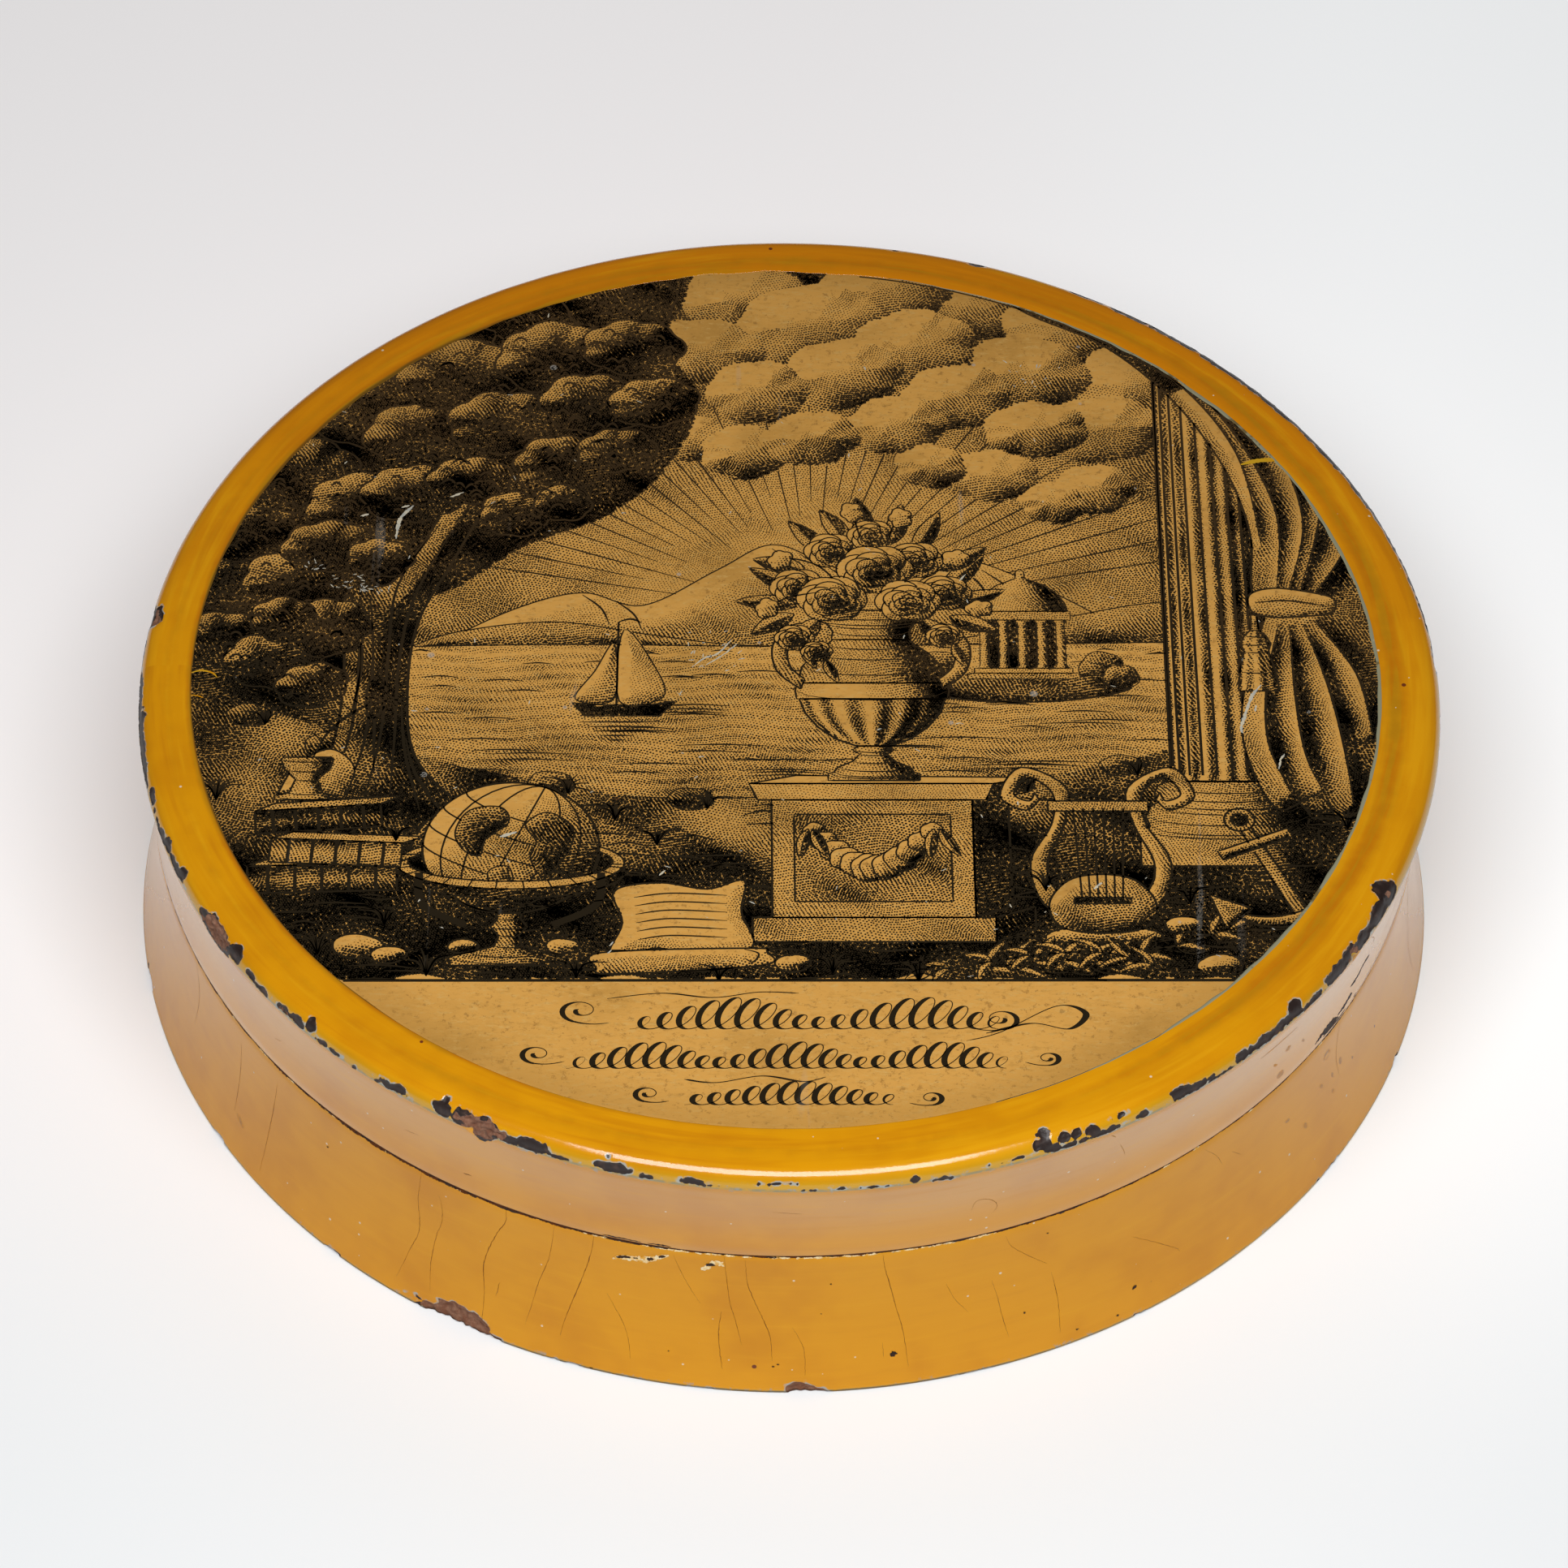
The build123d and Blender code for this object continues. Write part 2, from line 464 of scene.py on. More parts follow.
at_arris = ramp(sum_of("ABSOLUTE", from_edge), 0.24, 0.04)
arris_worn = times(at_arris, ramp(along_arris, 0.36, 0.54))
paint = blend_colour(arris_worn, paint, arris_grey)
rub = ramp(cloud(place, 1300.0, 4.0, 0.75), 0.56, 0.64)
rubbed_arris = times(ramp(sum_of("ABSOLUTE", from_edge), 0.7, 0.1, 0.0, 0.8), rub)
paint = blend_colour(rubbed_arris, paint, arris_blue)
paint = blend_colour(dots(place, 600.0, 0.09, 0.12), paint, speck_red)
paint = blend_colour(dots(place, 900.0, 0.3, 0.11), paint, dust_pale)
paint = blend_colour(fringe, paint, chip_fringe)
ground = blend_colour(ramp(cloud(place, 1500.0, 3.0), 0.5, 0.75), ground_coat, ground_coat_worn)
fibres = blend_colour(ramp(cloud(place, 2200.0, 4.0, 0.7), 0.35, 0.7), core_paper, core_paper_pale)
surface = blend_colour(bare, paint, ground)
surface = blend_colour(core, surface, fibres)
# Dirt and painted shade: dark brown in the parting line and along the foot.
surface = blend_colour(given["Dirt"], surface, dirt_brown)
surface = blend_colour(given["Lining"], surface, lining_brown)
gloss = times(cloud(place, 250.0, 3.0), 0.1, 0.08)
gloss = times(bare, 0.3, gloss)
gloss = sum_of("ADD", gloss, ramp(sum_of("ABSOLUTE", from_edge), 1.1, 0.2, 0.0, 0.16))
gloss = times(core, 0.4, gloss)
gloss = times(given["Dirt"], 0.5, gloss)
gloss = times(given["Lining"], 0.2, gloss)
orange_peel = times(cloud(place, 500.0), 0.006)
fine_peel = times(cloud(place, 2600.0, 3.0, 0.6), ramp(from_edge, 0.3, 0.8, 0.0, 0.007))
orange_peel = sum_of("ADD", orange_peel, fine_peel)
grain = times(cloud(place, 3000.0, 4.0, 0.7), times(core, 0.09))
chip_grain = times(cloud(place, 2500.0, 3.0), times(bare, 0.03))
relief = sum_of("ADD", sum_of("ADD", orange_peel, grain), chip_grain)
feed(result, {"Colour": surface, "Roughness": gloss, "Height": relief})


def ochre_finish(name, specular):
    """Ochre lacquer for one hoop, which reads that hoop's own marks. specular is how much the clean lacquer
    mirrors."""
    material, shader, _ = new_finish(name)
    tree = shader.id_data
    feeds = {key: node(tree, "Attribute", attribute_name=key.lower()).outputs["Fac"] for key in wear_marks}
    wear = node(tree, "Group", node_tree=worn)
    feed(wear, feeds)
    coat(shader, *wear.outputs, gloss=specular)
    return material


base_gloss = 0.28
front_steps = 505
back_steps = 190
turns = quarter_turns(front_steps, back_steps)
side_path = arc_through(*outline, np.linspace(0, 1, 2001))
low_heights = np.concatenate([
    [foot_ease, 0.3], np.linspace(0.4, 3.2, 18), np.linspace(3.9, 12.3, 10), [12.6, 12.8, 13.0, 13.15, 13.27],
])
low_shares = [share_at_height(side_path, height) for height in low_heights]


foot_chip_edge = 0.12
foot_chip_floor = 0.1
foot_core_edge = 0.6
foot_core_floor = 0.16
foot_dirt_top = 0.3
foot_dirt_fade = 0.12
parting_dirt_fade = 0.06
hidden_weight = 0.12
edge_wear = 0.1
edge_wear_start = base_side_height - 0.9
edge_wear_reach = 0.8
base_sanding = 0.018


def worn_edge(height):
    """How far years of opening have rounded the lower hoop's top edge in: a parabola that starts below it."""
    return edge_wear * np.clip((height - edge_wear_start) / edge_wear_reach, 0, 1) ** 2


def base_wobble(turn, height):
    """How far the hand-sanded side lies inside its true outline."""
    return base_sanding * (1 + ripple(turn, height * 0.3, 8.0, 40.0, 10, 6) / 3)


low_side = arc_through(*outline, low_shares)
low_side[:, 0] -= worn_edge(low_side[:, 1])
base_section = np.concatenate([
    [(bore_radius, 0.0), (foot_radius - 1.2, 0.0), (foot_radius - foot_ease - 0.02, 0.0)],
    [(foot_radius - 0.09, 0.07)],
    low_side,
    [(waist_radius - 0.14, base_side_height - 0.06), (waist_radius - 0.24, base_side_height)],
    [(bore_radius + 0.8, base_side_height), (bore_radius, base_side_height - 0.05), (bore_radius, 7.0)],
])
rows = len(base_section)
base_turn, _ = np.meshgrid(turns, np.arange(rows))
base_rings = np.repeat(base_section[:, None], len(turns), axis=1)
base_height = base_rings[..., 1]
outside = (base_rings[..., 0] > waist_radius - 1.0).astype(float)

foot_chips = (
    (-118.6, 0.5, 2.3, 1.35), (-117.0, 0.6, 1.6, 1.1), (-120.6, 0.3, 1.7, 0.55), (-115.6, 0.1, 1.3, 0.45),
    (-122.3, 0.75, 0.7, 0.14), (-88.1, 0.3, 1.35, 0.72), (-86.4, 0.1, 0.9, 0.34), (-131.8, 0.1, 0.9, 0.35),
    (-57.4, 0.05, 0.9, 0.2), (-96.5, 0.0, 1.5, 0.16), (-73.0, 0.0, 2.2, 0.15), (-108.0, 0.0, 2.4, 0.2),
    (-148.0, 0.0, 1.8, 0.3), (-34.0, 0.0, 1.5, 0.3), (-20.0, 0.1, 0.8, 0.4), (12.0, 0.1, 1.6, 0.5),
    (47.0, 0.1, 1.2, 0.6), (83.0, 0.1, 2.4, 0.35), (118.0, 0.2, 1.4, 0.7), (151.0, 0.1, 2.0, 0.4),
    (-168.0, 0.1, 1.5, 0.45),
)
foot_core = (
    (-118.5, 0.4, 2.8, 1.7), (-116.9, 0.5, 2.1, 1.5), (-88.0, 0.3, 2.2, 1.3), (-115.4, 0.1, 1.7, 0.8),
    (-120.4, 0.3, 2.1, 0.8), (118.0, 0.1, 0.9, 0.5),
)
jag = ripple(base_turn, base_height, 0.6, 1.6, 18, 3)
foot_depth = (lobes(base_turn, base_height, foot_chips) + 0.08 * jag) * outside - 5.0 * (1 - outside)
core_depth = lobes(base_turn, base_height, foot_core) + 0.15 * ripple(base_turn, base_height, 0.7, 1.5, 14, 4)
lump = ripple(base_turn, base_height, 0.5, 1.4, 16, 5)
dent = recess(foot_depth, foot_chip_edge, foot_chip_floor)
dent += recess(foot_depth, foot_core_edge, foot_core_floor) * (1 + 0.4 * lump)
base_rings[..., 0] -= (base_wobble(base_turn, base_height) + dent) * outside
seen_rows = (base_section[:, 0] > waist_radius - 0.5) & (base_section[:, 1] > 0.01)
base_bake = np.where(seen_rows, 1.0, hidden_weight)
base_piece = revolve("lower_hoop", base_rings, turns, base_bake)
# Dark brown just under the lower hoop's top edge: dirt in the parting line, and painted shade of the gap
# under the lid.
parting_dirt = np.clip((base_height - (base_side_height - 0.13)) / parting_dirt_fade, 0, 1)
# Dark brown along the foot, strongest at the front: dirt, and painted shade where the foot stands on the
# card.
foot_dirt_turns = np.radians((-180, -150, -125, -75, -58, -40, 180))
foot_dirt_round = np.interp(base_turn, foot_dirt_turns, (0.1, 0.15, 1, 1, 0.5, 0.1, 0.1))
foot_dirt = 0.7 * np.clip((foot_dirt_top - base_height) / foot_dirt_fade, 0, 1) * foot_dirt_round
from_foot_edge = 1.6 * (foot_ease - base_height)
lining = base_rings[..., 0] < bore_radius + 0.4
mark(base_piece, chip=foot_depth, core=core_depth, arris=from_foot_edge, thin=0 * base_height)
mark(base_piece, dirt=np.maximum(parting_dirt, foot_dirt), lining=lining)
base_piece.data.materials.append(ochre_finish("ochre_lacquer_base", base_gloss))
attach(base_piece, "base")
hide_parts("base_hoop")


# Marks on the lower hoop: hairline cracks that run down from the parting line, knocks, stains, and two
# places where the top coat lifted. Pale crumbs of old varnish sit in the parting line. Each is a sliver of
# colour that lies on the lacquer.

crack_brown = (0.42, 0.17, 0.012)
crack_black = (0.22, 0.08, 0.01)
knock_black = (0.03, 0.019, 0.014)
crumb_pale = (0.95, 0.78, 0.45)
stain_brown = (0.44, 0.19, 0.02)
mark_chance = np.random.default_rng(8)


def through(points, steps=8, closed=False):
    """A smooth line through a few points: between two of them a cubic that leaves and arrives along the
    direction from the point before to the point after, as far as the ends allow."""
    knots = np.asarray(points, float)
    padded = np.vstack([knots[-1], knots, knots[:2]]) if closed else np.vstack([knots[0], knots, knots[-1]])
    a, b, c, d = padded[:-3, None], padded[1:-2, None], padded[2:-1, None], padded[3:, None]
    t = np.linspace(0, 1, steps, endpoint=False)[None, :, None]
    line = 0.5 * (2 * b + (c - a) * t + (2 * a - 5 * b + 4 * c - d) * t**2 + (3 * b - a - 3 * c + d) * t**3)
    line = line.reshape(-1, 2)
    return line if closed else np.vstack([line, knots[-1:]])


def ribbon(line, width):
    """The four-cornered pieces of a stroke along a line, whose width is given at each of its points."""
    run = np.diff(line, axis=0)
    aside = np.stack([-run[:, 1], run[:, 0]], -1) / np.maximum(np.hypot(*run.T), 1e-9)[:, None]
    half = np.vstack([aside[:1], (aside[1:] + aside[:-1]) / 2, aside[-1:]]) * width[:, None] / 2
    left, right = line - half, line + half
    return np.stack([left[:-1], left[1:], right[1:], right[:-1]], 1)


def tapered(count, taper):
    """Widths along a stroke: thinner over that share of it at each end."""
    along = np.linspace(0, 1, count)
    return 0.3 + 0.7 * np.clip(np.minimum(along, 1 - along) / taper, 0, 1)


def side_marks(name, marks, surface, body, finish, above, ragged):
    """Strokes on a hoop's side. Each is (degrees, height) points and a width in millimetres. surface gives
    the lacquer's radius at a turn and height, above is how far the strokes stand off it, and ragged is the
    share by which their width changes along them."""
    pieces = []
    for points, width in marks:
        degrees, height = np.array(points, float).T
        line = through(np.stack([np.radians(degrees) * waist_radius, height], -1), 10)
        line += mark_chance.normal(0, 0.012, line.shape)
        widths = width * tapered(len(line), 0.3) * (1 + ragged * mark_chance.uniform(-1, 1, len(line)))
        pieces.append(ribbon(line, widths))
    corners = np.concatenate(pieces).reshape(-1, 2)
    turn, height = corners[:, 0] / waist_radius, corners[:, 1]
    points = round_points(surface(turn, height) + above, height, turn)
    made = mesh_piece(name, points, np.arange(len(corners)).reshape(-1, 4))
    made.data.materials.append(finish)
    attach(made, body)
    return made


def mottled(name, one, other, scale, roughness, gloss=0.28):
    """A finish of two mixed colours with a fine grain. gloss is how much it mirrors."""
    material, shader, place = new_finish(name)
    grain = cloud(place, scale, 4.0, 0.7)
    colour = blend_colour(ramp(grain, 0.4, 0.62), one, other)
    coat(shader, colour, ramp(grain, 0.3, 0.7, roughness, roughness + 0.25), gloss=gloss)
    return material


def base_surface(turn, height):
    """The lower hoop's radius outside, where it isn't chipped."""
    return np.interp(height, side_path[:, 1], side_path[:, 0]) - worn_edge(height) - base_wobble(turn, height)


cracks = (
    (((-109.7, 13.1), (-109.9, 11.4), (-110.3, 9.2), (-111.1, 6.75), (-111.6, 4.5), (-112.1, 2.4)), 0.04),
    (((-106.1, 13.1), (-106.3, 11.6), (-106.8, 9.6), (-107.6, 7.0), (-108.4, 4.5), (-108.9, 2.4)), 0.064),
    (((-104.9, 7.5), (-104.1, 6.2), (-103.3, 4.8), (-102.8, 3.2), (-102.6, 1.8)), 0.04),
    (((-99.1, 12.8), (-98.4, 11.0), (-97.6, 9.4), (-96.7, 8.0)), 0.032),
    (((-94.7, 13.1), (-94.5, 11.0), (-94.2, 8.5), (-93.6, 6.3), (-93.1, 4.3)), 0.048),
    (((-94.9, 7.4), (-95.1, 5.2), (-94.9, 3.2), (-94.7, 2.0)), 0.056),
    (((-92.9, 12.9), (-92.7, 10.5), (-92.1, 8.7), (-91.3, 6.8), (-90.7, 5.2), (-90.5, 2.9)), 0.052),
    (((-88.8, 6.1), (-87.9, 4.3), (-87.7, 3.0), (-87.7, 1.6)), 0.04),
    (((-81.1, 13.1), (-80.9, 11.6), (-80.4, 9.6), (-79.9, 7.4), (-79.3, 5.0), (-78.9, 1.7)), 0.06),
    (((-81.1, 4.2), (-81.0, 2.8)), 0.032), (((-75.5, 9.0), (-74.7, 7.2), (-73.5, 5.7)), 0.032),
    (((-70.2, 12.6), (-69.7, 11.4), (-68.6, 10.3), (-67.3, 9.2), (-66.3, 8.4)), 0.04),
    (((-71.4, 8.3), (-70.9, 6.5), (-70.5, 4.5), (-70.0, 2.5)), 0.04),
    (((-65.9, 7.4), (-65.5, 5.6), (-65.3, 3.9), (-65.3, 1.4)), 0.048),
    (((-57.9, 7.6), (-56.3, 6.5), (-54.7, 5.3), (-53.4, 4.3), (-53.0, 3.8)), 0.04),
    (((-50.0, 12.5), (-48.6, 11.0), (-47.8, 9.6)), 0.028), (((-46.7, 10.3), (-45.5, 9.2)), 0.032),
    (((-122.7, 13.1), (-122.9, 11.6), (-123.1, 10.1), (-122.9, 7.9), (-123.0, 6.5), (-123.6, 5.0),
      (-124.3, 3.0), (-124.8, 1.6)), 0.048),
    (((-120.9, 11.6), (-120.6, 10.5), (-120.6, 9.0), (-121.1, 7.4), (-121.4, 5.6), (-121.5, 3.9),
      (-121.3, 1.8)), 0.048),
    (((-114.2, 13.1), (-114.3, 11.8), (-115.1, 10.3), (-115.9, 8.3), (-116.3, 6.8), (-116.3, 5.6),
      (-116.1, 3.9), (-116.1, 1.3)), 0.068),
    (((-114.7, 5.5), (-115.0, 4.0)), 0.04),
    (((-140.4, 11.2), (-140.8, 9.0), (-141.3, 6.1), (-141.6, 3.9), (-141.9, 1.4)), 0.048),
    (((-146.1, 11.4), (-146.3, 7.9), (-146.7, 3.9)), 0.048),
    (((-155.0, 12.8), (-154.6, 9.6), (-155.4, 6.0)), 0.04),
    (((-31.0, 12.9), (-31.4, 9.8), (-30.8, 7.0)), 0.036),
    (((-12.0, 13.0), (-11.4, 9.0), (-11.9, 5.0), (-11.5, 2.2)), 0.048),
    (((24.0, 13.0), (24.5, 10.4), (24.1, 6.1)), 0.048), (((58.0, 9.6), (58.8, 6.0), (58.5, 2.4)), 0.04),
    (((96.0, 13.0), (95.2, 8.8), (95.8, 4.8), (95.4, 1.6)), 0.056),
    (((133.0, 12.9), (133.8, 9.6), (133.5, 6.6)), 0.04), (((160.0, 11.0), (159.2, 7.2), (159.6, 3.0)), 0.048),
)
knocks = (
    (((-80.35, 2.8), (-80.15, 3.05), (-80.0, 3.2)), 0.4), (((-58.05, 2.6), (-57.8, 2.85)), 0.34),
    (((-66.36, 11.6), (-66.24, 11.62)), 0.16), (((-68.56, 4.32), (-68.4, 4.26)), 0.17),
    (((-133.6, 9.4), (-133.4, 9.46)), 0.18), (((-90.1, 2.6), (-89.9, 2.66)), 0.16),
    (((-90.5, 2.4), (-90.35, 2.45)), 0.16), (((-63.8, 1.15), (-63.6, 1.2)), 0.25),
    (((-59.9, 0.9), (-59.7, 0.95)), 0.2), (((-85.6, 10.4), (-85.5, 10.4)), 0.14),
    (((-86.4, 7.4), (-86.3, 7.4)), 0.13), (((-99.4, 3.1), (-99.3, 3.1)), 0.13),
    (((-104.1, 11.45), (-103.4, 11.68), (-102.8, 11.72)), 0.3), (((-102.6, 11.75), (-102.2, 11.78)), 0.2),
    (((-101.4, 11.85), (-100.8, 12.0)), 0.3), (((-100.4, 12.3), (-99.8, 12.5)), 0.26),
    (((-96.25, 12.0), (-95.9, 12.2), (-95.5, 12.12)), 0.3),
    (((-105.2, 13.22), (-104.0, 13.24), (-102.0, 13.2)), 0.12), (((-101.2, 13.28), (-99.4, 13.3)), 0.13),
    (((-120.3, 13.2), (-119.6, 13.2)), 0.18), (((-117.6, 13.18), (-117.1, 13.2)), 0.16),
    (((-115.2, 13.22), (-114.0, 13.18), (-113.0, 13.22)), 0.16), (((-133.4, 13.25), (-132.9, 13.25)), 0.2),
    (((-131.8, 13.22), (-131.4, 13.2)), 0.22), (((-90.9, 13.24), (-90.0, 13.25)), 0.12),
    (((-34.2, 13.3), (-33.0, 13.26), (-31.4, 13.3), (-30.2, 13.28)), 0.2),
    (((-75.1, 13.25), (-73.6, 13.28)), 0.14), (((-65.3, 13.25), (-64.7, 13.26)), 0.18),
    (((18.0, 13.25), (19.6, 13.22)), 0.16), (((71.0, 3.1), (71.3, 3.3)), 0.35),
    (((143.0, 6.4), (143.2, 6.3)), 0.24),
)
crumbs = [
    (((-104.45, 11.22), (-103.6, 11.55), (-102.2, 11.75), (-101.1, 11.95), (-100.3, 12.3),
      (-99.5, 12.62)), 0.5),
    (((-101.95, 11.55), (-101.3, 11.62)), 0.36), (((-96.7, 11.6), (-96.2, 11.82), (-95.9, 12.1)), 0.42),
    (((-95.95, 12.25), (-95.3, 12.45), (-94.65, 12.2)), 0.46),
]
crumb_height = 13.215
crumb_runs = (
    (-107.5, -103.5, 10), (-102.5, -97.0, 14), (-96.5, -92.5, 10), (-91.0, -88.0, 6), (-87.5, -81.6, 18),
    (-80.6, -71.5, 20), (-150.0, -112.0, 9), (-66.0, 180.0, 26),
)
for start, end, count in crumb_runs:
    for place in mark_chance.uniform(start, end, count):
        length = mark_chance.uniform(0.25, 1.1)
        height = crumb_height + mark_chance.uniform(-0.03, 0.03)
        line = ((place, height), (place + length / 2, height + 0.01), (place + length, height))
        crumbs.append((line, mark_chance.uniform(0.1, 0.18)))
stains = (
    (((-33.2, 11.5), (-33.0, 10.6)), 0.9), (((-30.7, 8.9), (-30.5, 8.1)), 0.4),
    (((-34.2, 8.6), (-33.7, 8.1)), 0.3), (((-32.2, 8.4), (-31.9, 7.8)), 0.3),
    (((-32.2, 6.7), (-31.9, 6.2)), 0.28), (((-36.9, 6.6), (-36.4, 5.9)), 0.34),
    (((-28.4, 7.2), (-28.2, 6.9)), 0.24), (((-146.2, 4.0), (-145.0, 3.4)), 0.5),
    (((-39.6, 8.6), (-38.9, 8.5)), 0.3), (((42.0, 9.0), (42.6, 8.0)), 0.5),
    (((118.0, 5.0), (118.9, 4.4)), 0.6),
)
stained_lacquer = mottled("stained_lacquer", stain_brown, ochre_deep, 1500.0, 0.25)
side_marks("stains", stains, base_surface, "base", stained_lacquer, above=0.003, ragged=0.25)
crack_finish = mottled("crack", crack_brown, crack_black, 900.0, 0.5, 0.05)
side_marks("hairline_cracks", cracks, base_surface, "base", crack_finish, above=0.004, ragged=0.3)
old_varnish = mottled("old_varnish", crumb_pale, ochre_pale, 2500.0, 0.3)
side_marks("varnish_crumbs", crumbs, base_surface, "base", old_varnish, above=0.02, ragged=0.35)
knocked_lacquer = mottled("knocked_lacquer", knock_black, ground_coat_worn, 2500.0, 0.45, 0.08)
side_marks("knocks", knocks, base_surface, "base", knocked_lacquer, above=0.024, ragged=0.35)

# A brown-black line laid along the parting, widest at the front left: dirt in the joint, and painted shade of
# the gap under the lid.
dirt_places = (-180, -150, -125, -112, -95, -75, -50, 0, 90, 180)
dirt_widths = (0.24, 0.34, 0.4, 0.34, 0.22, 0.2, 0.17, 0.17, 0.18, 0.2)
parting_line = []
for start in np.arange(-180.0, 180.0, 3.0):
    places = start + np.linspace(-0.3, 3.3, 7)
    hold = np.interp(start, dirt_places, dirt_widths)
    heights = base_side_height - 0.09 + 0.015 * mark_chance.normal(0, 1, 7)
    parting_line.append((tuple(zip(places, heights)), hold * mark_chance.uniform(0.7, 1.2)))
line_dirt = mottled("parting_dirt", dirt_red, knock_black, 2500.0, 0.6, 0.05)
side_marks("parting_line", parting_line, base_surface, "base", line_dirt, above=0.014, ragged=0.25)


# Lower board and throat ring: pressed and wound paper, lacquered black-brown inside and out.
# The board is glued into the lower hoop a little above the table. The ring is glued in above it and stands up
# inside the lid, whose rubbing has worn the ring's rim and outside.

dark_lacquer = (0.017, 0.0105, 0.0085)
dark_lacquer_warm = (0.036, 0.018, 0.011)
rubbed_paper = (0.13, 0.07, 0.035)

rubbed, given, result, place = effect("rubbed_lacquer", ("Rub",), ("Colour", "Roughness", "Height"))
ring_feeds = {0: times(from_axis(place), 1800.0), 1: times(axes(place)["Z"], 1800.0)}
rings = cloud(node(rubbed, "CombineXYZ", ring_feeds).outputs[0], 1.0, 3.0, 0.6)
mottle = cloud(place, 160.0, 3.0, 0.6)
colour = blend_colour(ramp(mottle, 0.4, 0.7), dark_lacquer, dark_lacquer_warm)
fray = times(cloud(place, 900.0, 4.0, 0.7), 0.8, given["Rub"])
bared = ramp(fray, 1.0, 1.12)
colour = blend_colour(bared, colour, rubbed_paper)
colour = blend_colour(dots(place, 300.0, 0.1, 0.14), colour, dust_pale)
gloss = times(bared, 0.35, times(mottle, 0.2, 0.14))
relief = times(rings, 0.012, times(mottle, 0.03))
feed(result, {"Colour": colour, "Roughness": gloss, "Height": relief})


def dark_finish(name, rub_from=None, rub_to=None):
    """Black-brown lacquer, rubbed through where the height above the table goes from rub_from to rub_to, in
    metres."""
    material, shader, place = new_finish(name)
    wear = node(shader.id_data, "Group", node_tree=rubbed)
    if rub_from is not None:
        feed(wear, {"Rub": ramp(axes(place)["Z"], rub_from, rub_to, 0.0, 0.75)})
    coat(shader, *wear.outputs)
    return material


def refinish(name, material):
    """Gives a piece that stays as it was built its finish."""
    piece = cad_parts[name]
    piece.data.materials.clear()
    piece.data.materials.append(material)


ring_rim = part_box("throat_ring")[1][2]
refinish("base_board", dark_finish("dark_lacquer_board"))
refinish("throat_ring", dark_finish("dark_lacquer_ring", ring_rim - 0.0025, ring_rim))


# Upper hoop: the same tube above the parting line, with a frame turned on its end round the print: a flat
# band, a shallow groove and a roll that ends in a sharp arris. The lacquer has chipped off along the arris.
# The ochre was brushed up to the print, and on the left it runs over the print's edge.

band_width = 1.4
groove_width = 0.6
lead_in = 0.4
print_recess = 0.05
lid_gloss = 0.58
lid_sanding = 0.02
brush_relief = 0.006
arris_chip_edge = 0.1
arris_chip_floor = 0.09
arris_core_edge = 0.5
arris_core_floor = 0.22
chips_below = 3.0
chips_inward = 4.6
groove_spread = 0.42
groove_depth = 0.035
arris_moved_right = 0.24
arris_moved_front = 0.34
arris_flat_back = 0.22
groove_start = bore_radius + band_width
roll_start = groove_start + groove_width
roll_width = arris_radius - roll_start
roll_turn = np.linspace(0, math.pi / 2, 21)
roll_radius = roll_start + roll_width * np.cos(roll_turn) ** (2 / 3)
roll_path = np.stack([roll_radius, arris_height + crown_rise * np.sin(roll_turn)], -1)

high_heights = np.concatenate([
    np.linspace(13.55, 20.0, 8), [20.5], np.linspace(20.9, arris_height - 0.12, 9), [arris_height],
])
high_shares = [share_at_height(side_path, height) for height in high_heights]
high_side = arc_through(*outline, high_shares)
band_radii = np.concatenate([
    np.linspace(roll_start, bore_radius + 0.4, 19)[1:], [bore_radius + 0.25, bore_radius + 0.1],
])
band_path = np.stack([band_radii, np.full(len(band_radii), crown_height)], -1)
lid_section = np.concatenate([
    [(bore_radius, base_side_height + lead_in), (bore_radius + lead_in, base_side_height)],
    [(waist_radius - parting_ease, base_side_height), (waist_radius - 0.05, base_side_height + 0.05)],
    high_side, roll_path[1:], band_path,
    [
        (bore_radius + 0.04, crown_height - 0.02), (bore_radius, crown_height - 0.03),
        (bore_radius, crown_height - 0.08), (bore_radius, crown_height - 0.5),
    ],
])
rows = len(lid_section)
lid_rings = np.repeat(lid_section[:, None], len(turns), axis=1)
lid_turn, _ = np.meshgrid(turns, np.arange(rows))
steps = np.hypot(*np.diff(lid_section, axis=0).T)
arris_row = 4 + len(high_heights) - 1
along_section = np.concatenate([[0.0], np.cumsum(steps)])
from_arris = along_section - along_section[arris_row]
lid_along = np.repeat(from_arris[:, None], len(turns), axis=1)
chipped_rows = (from_arris > -chips_below) & (from_arris < chips_inward)

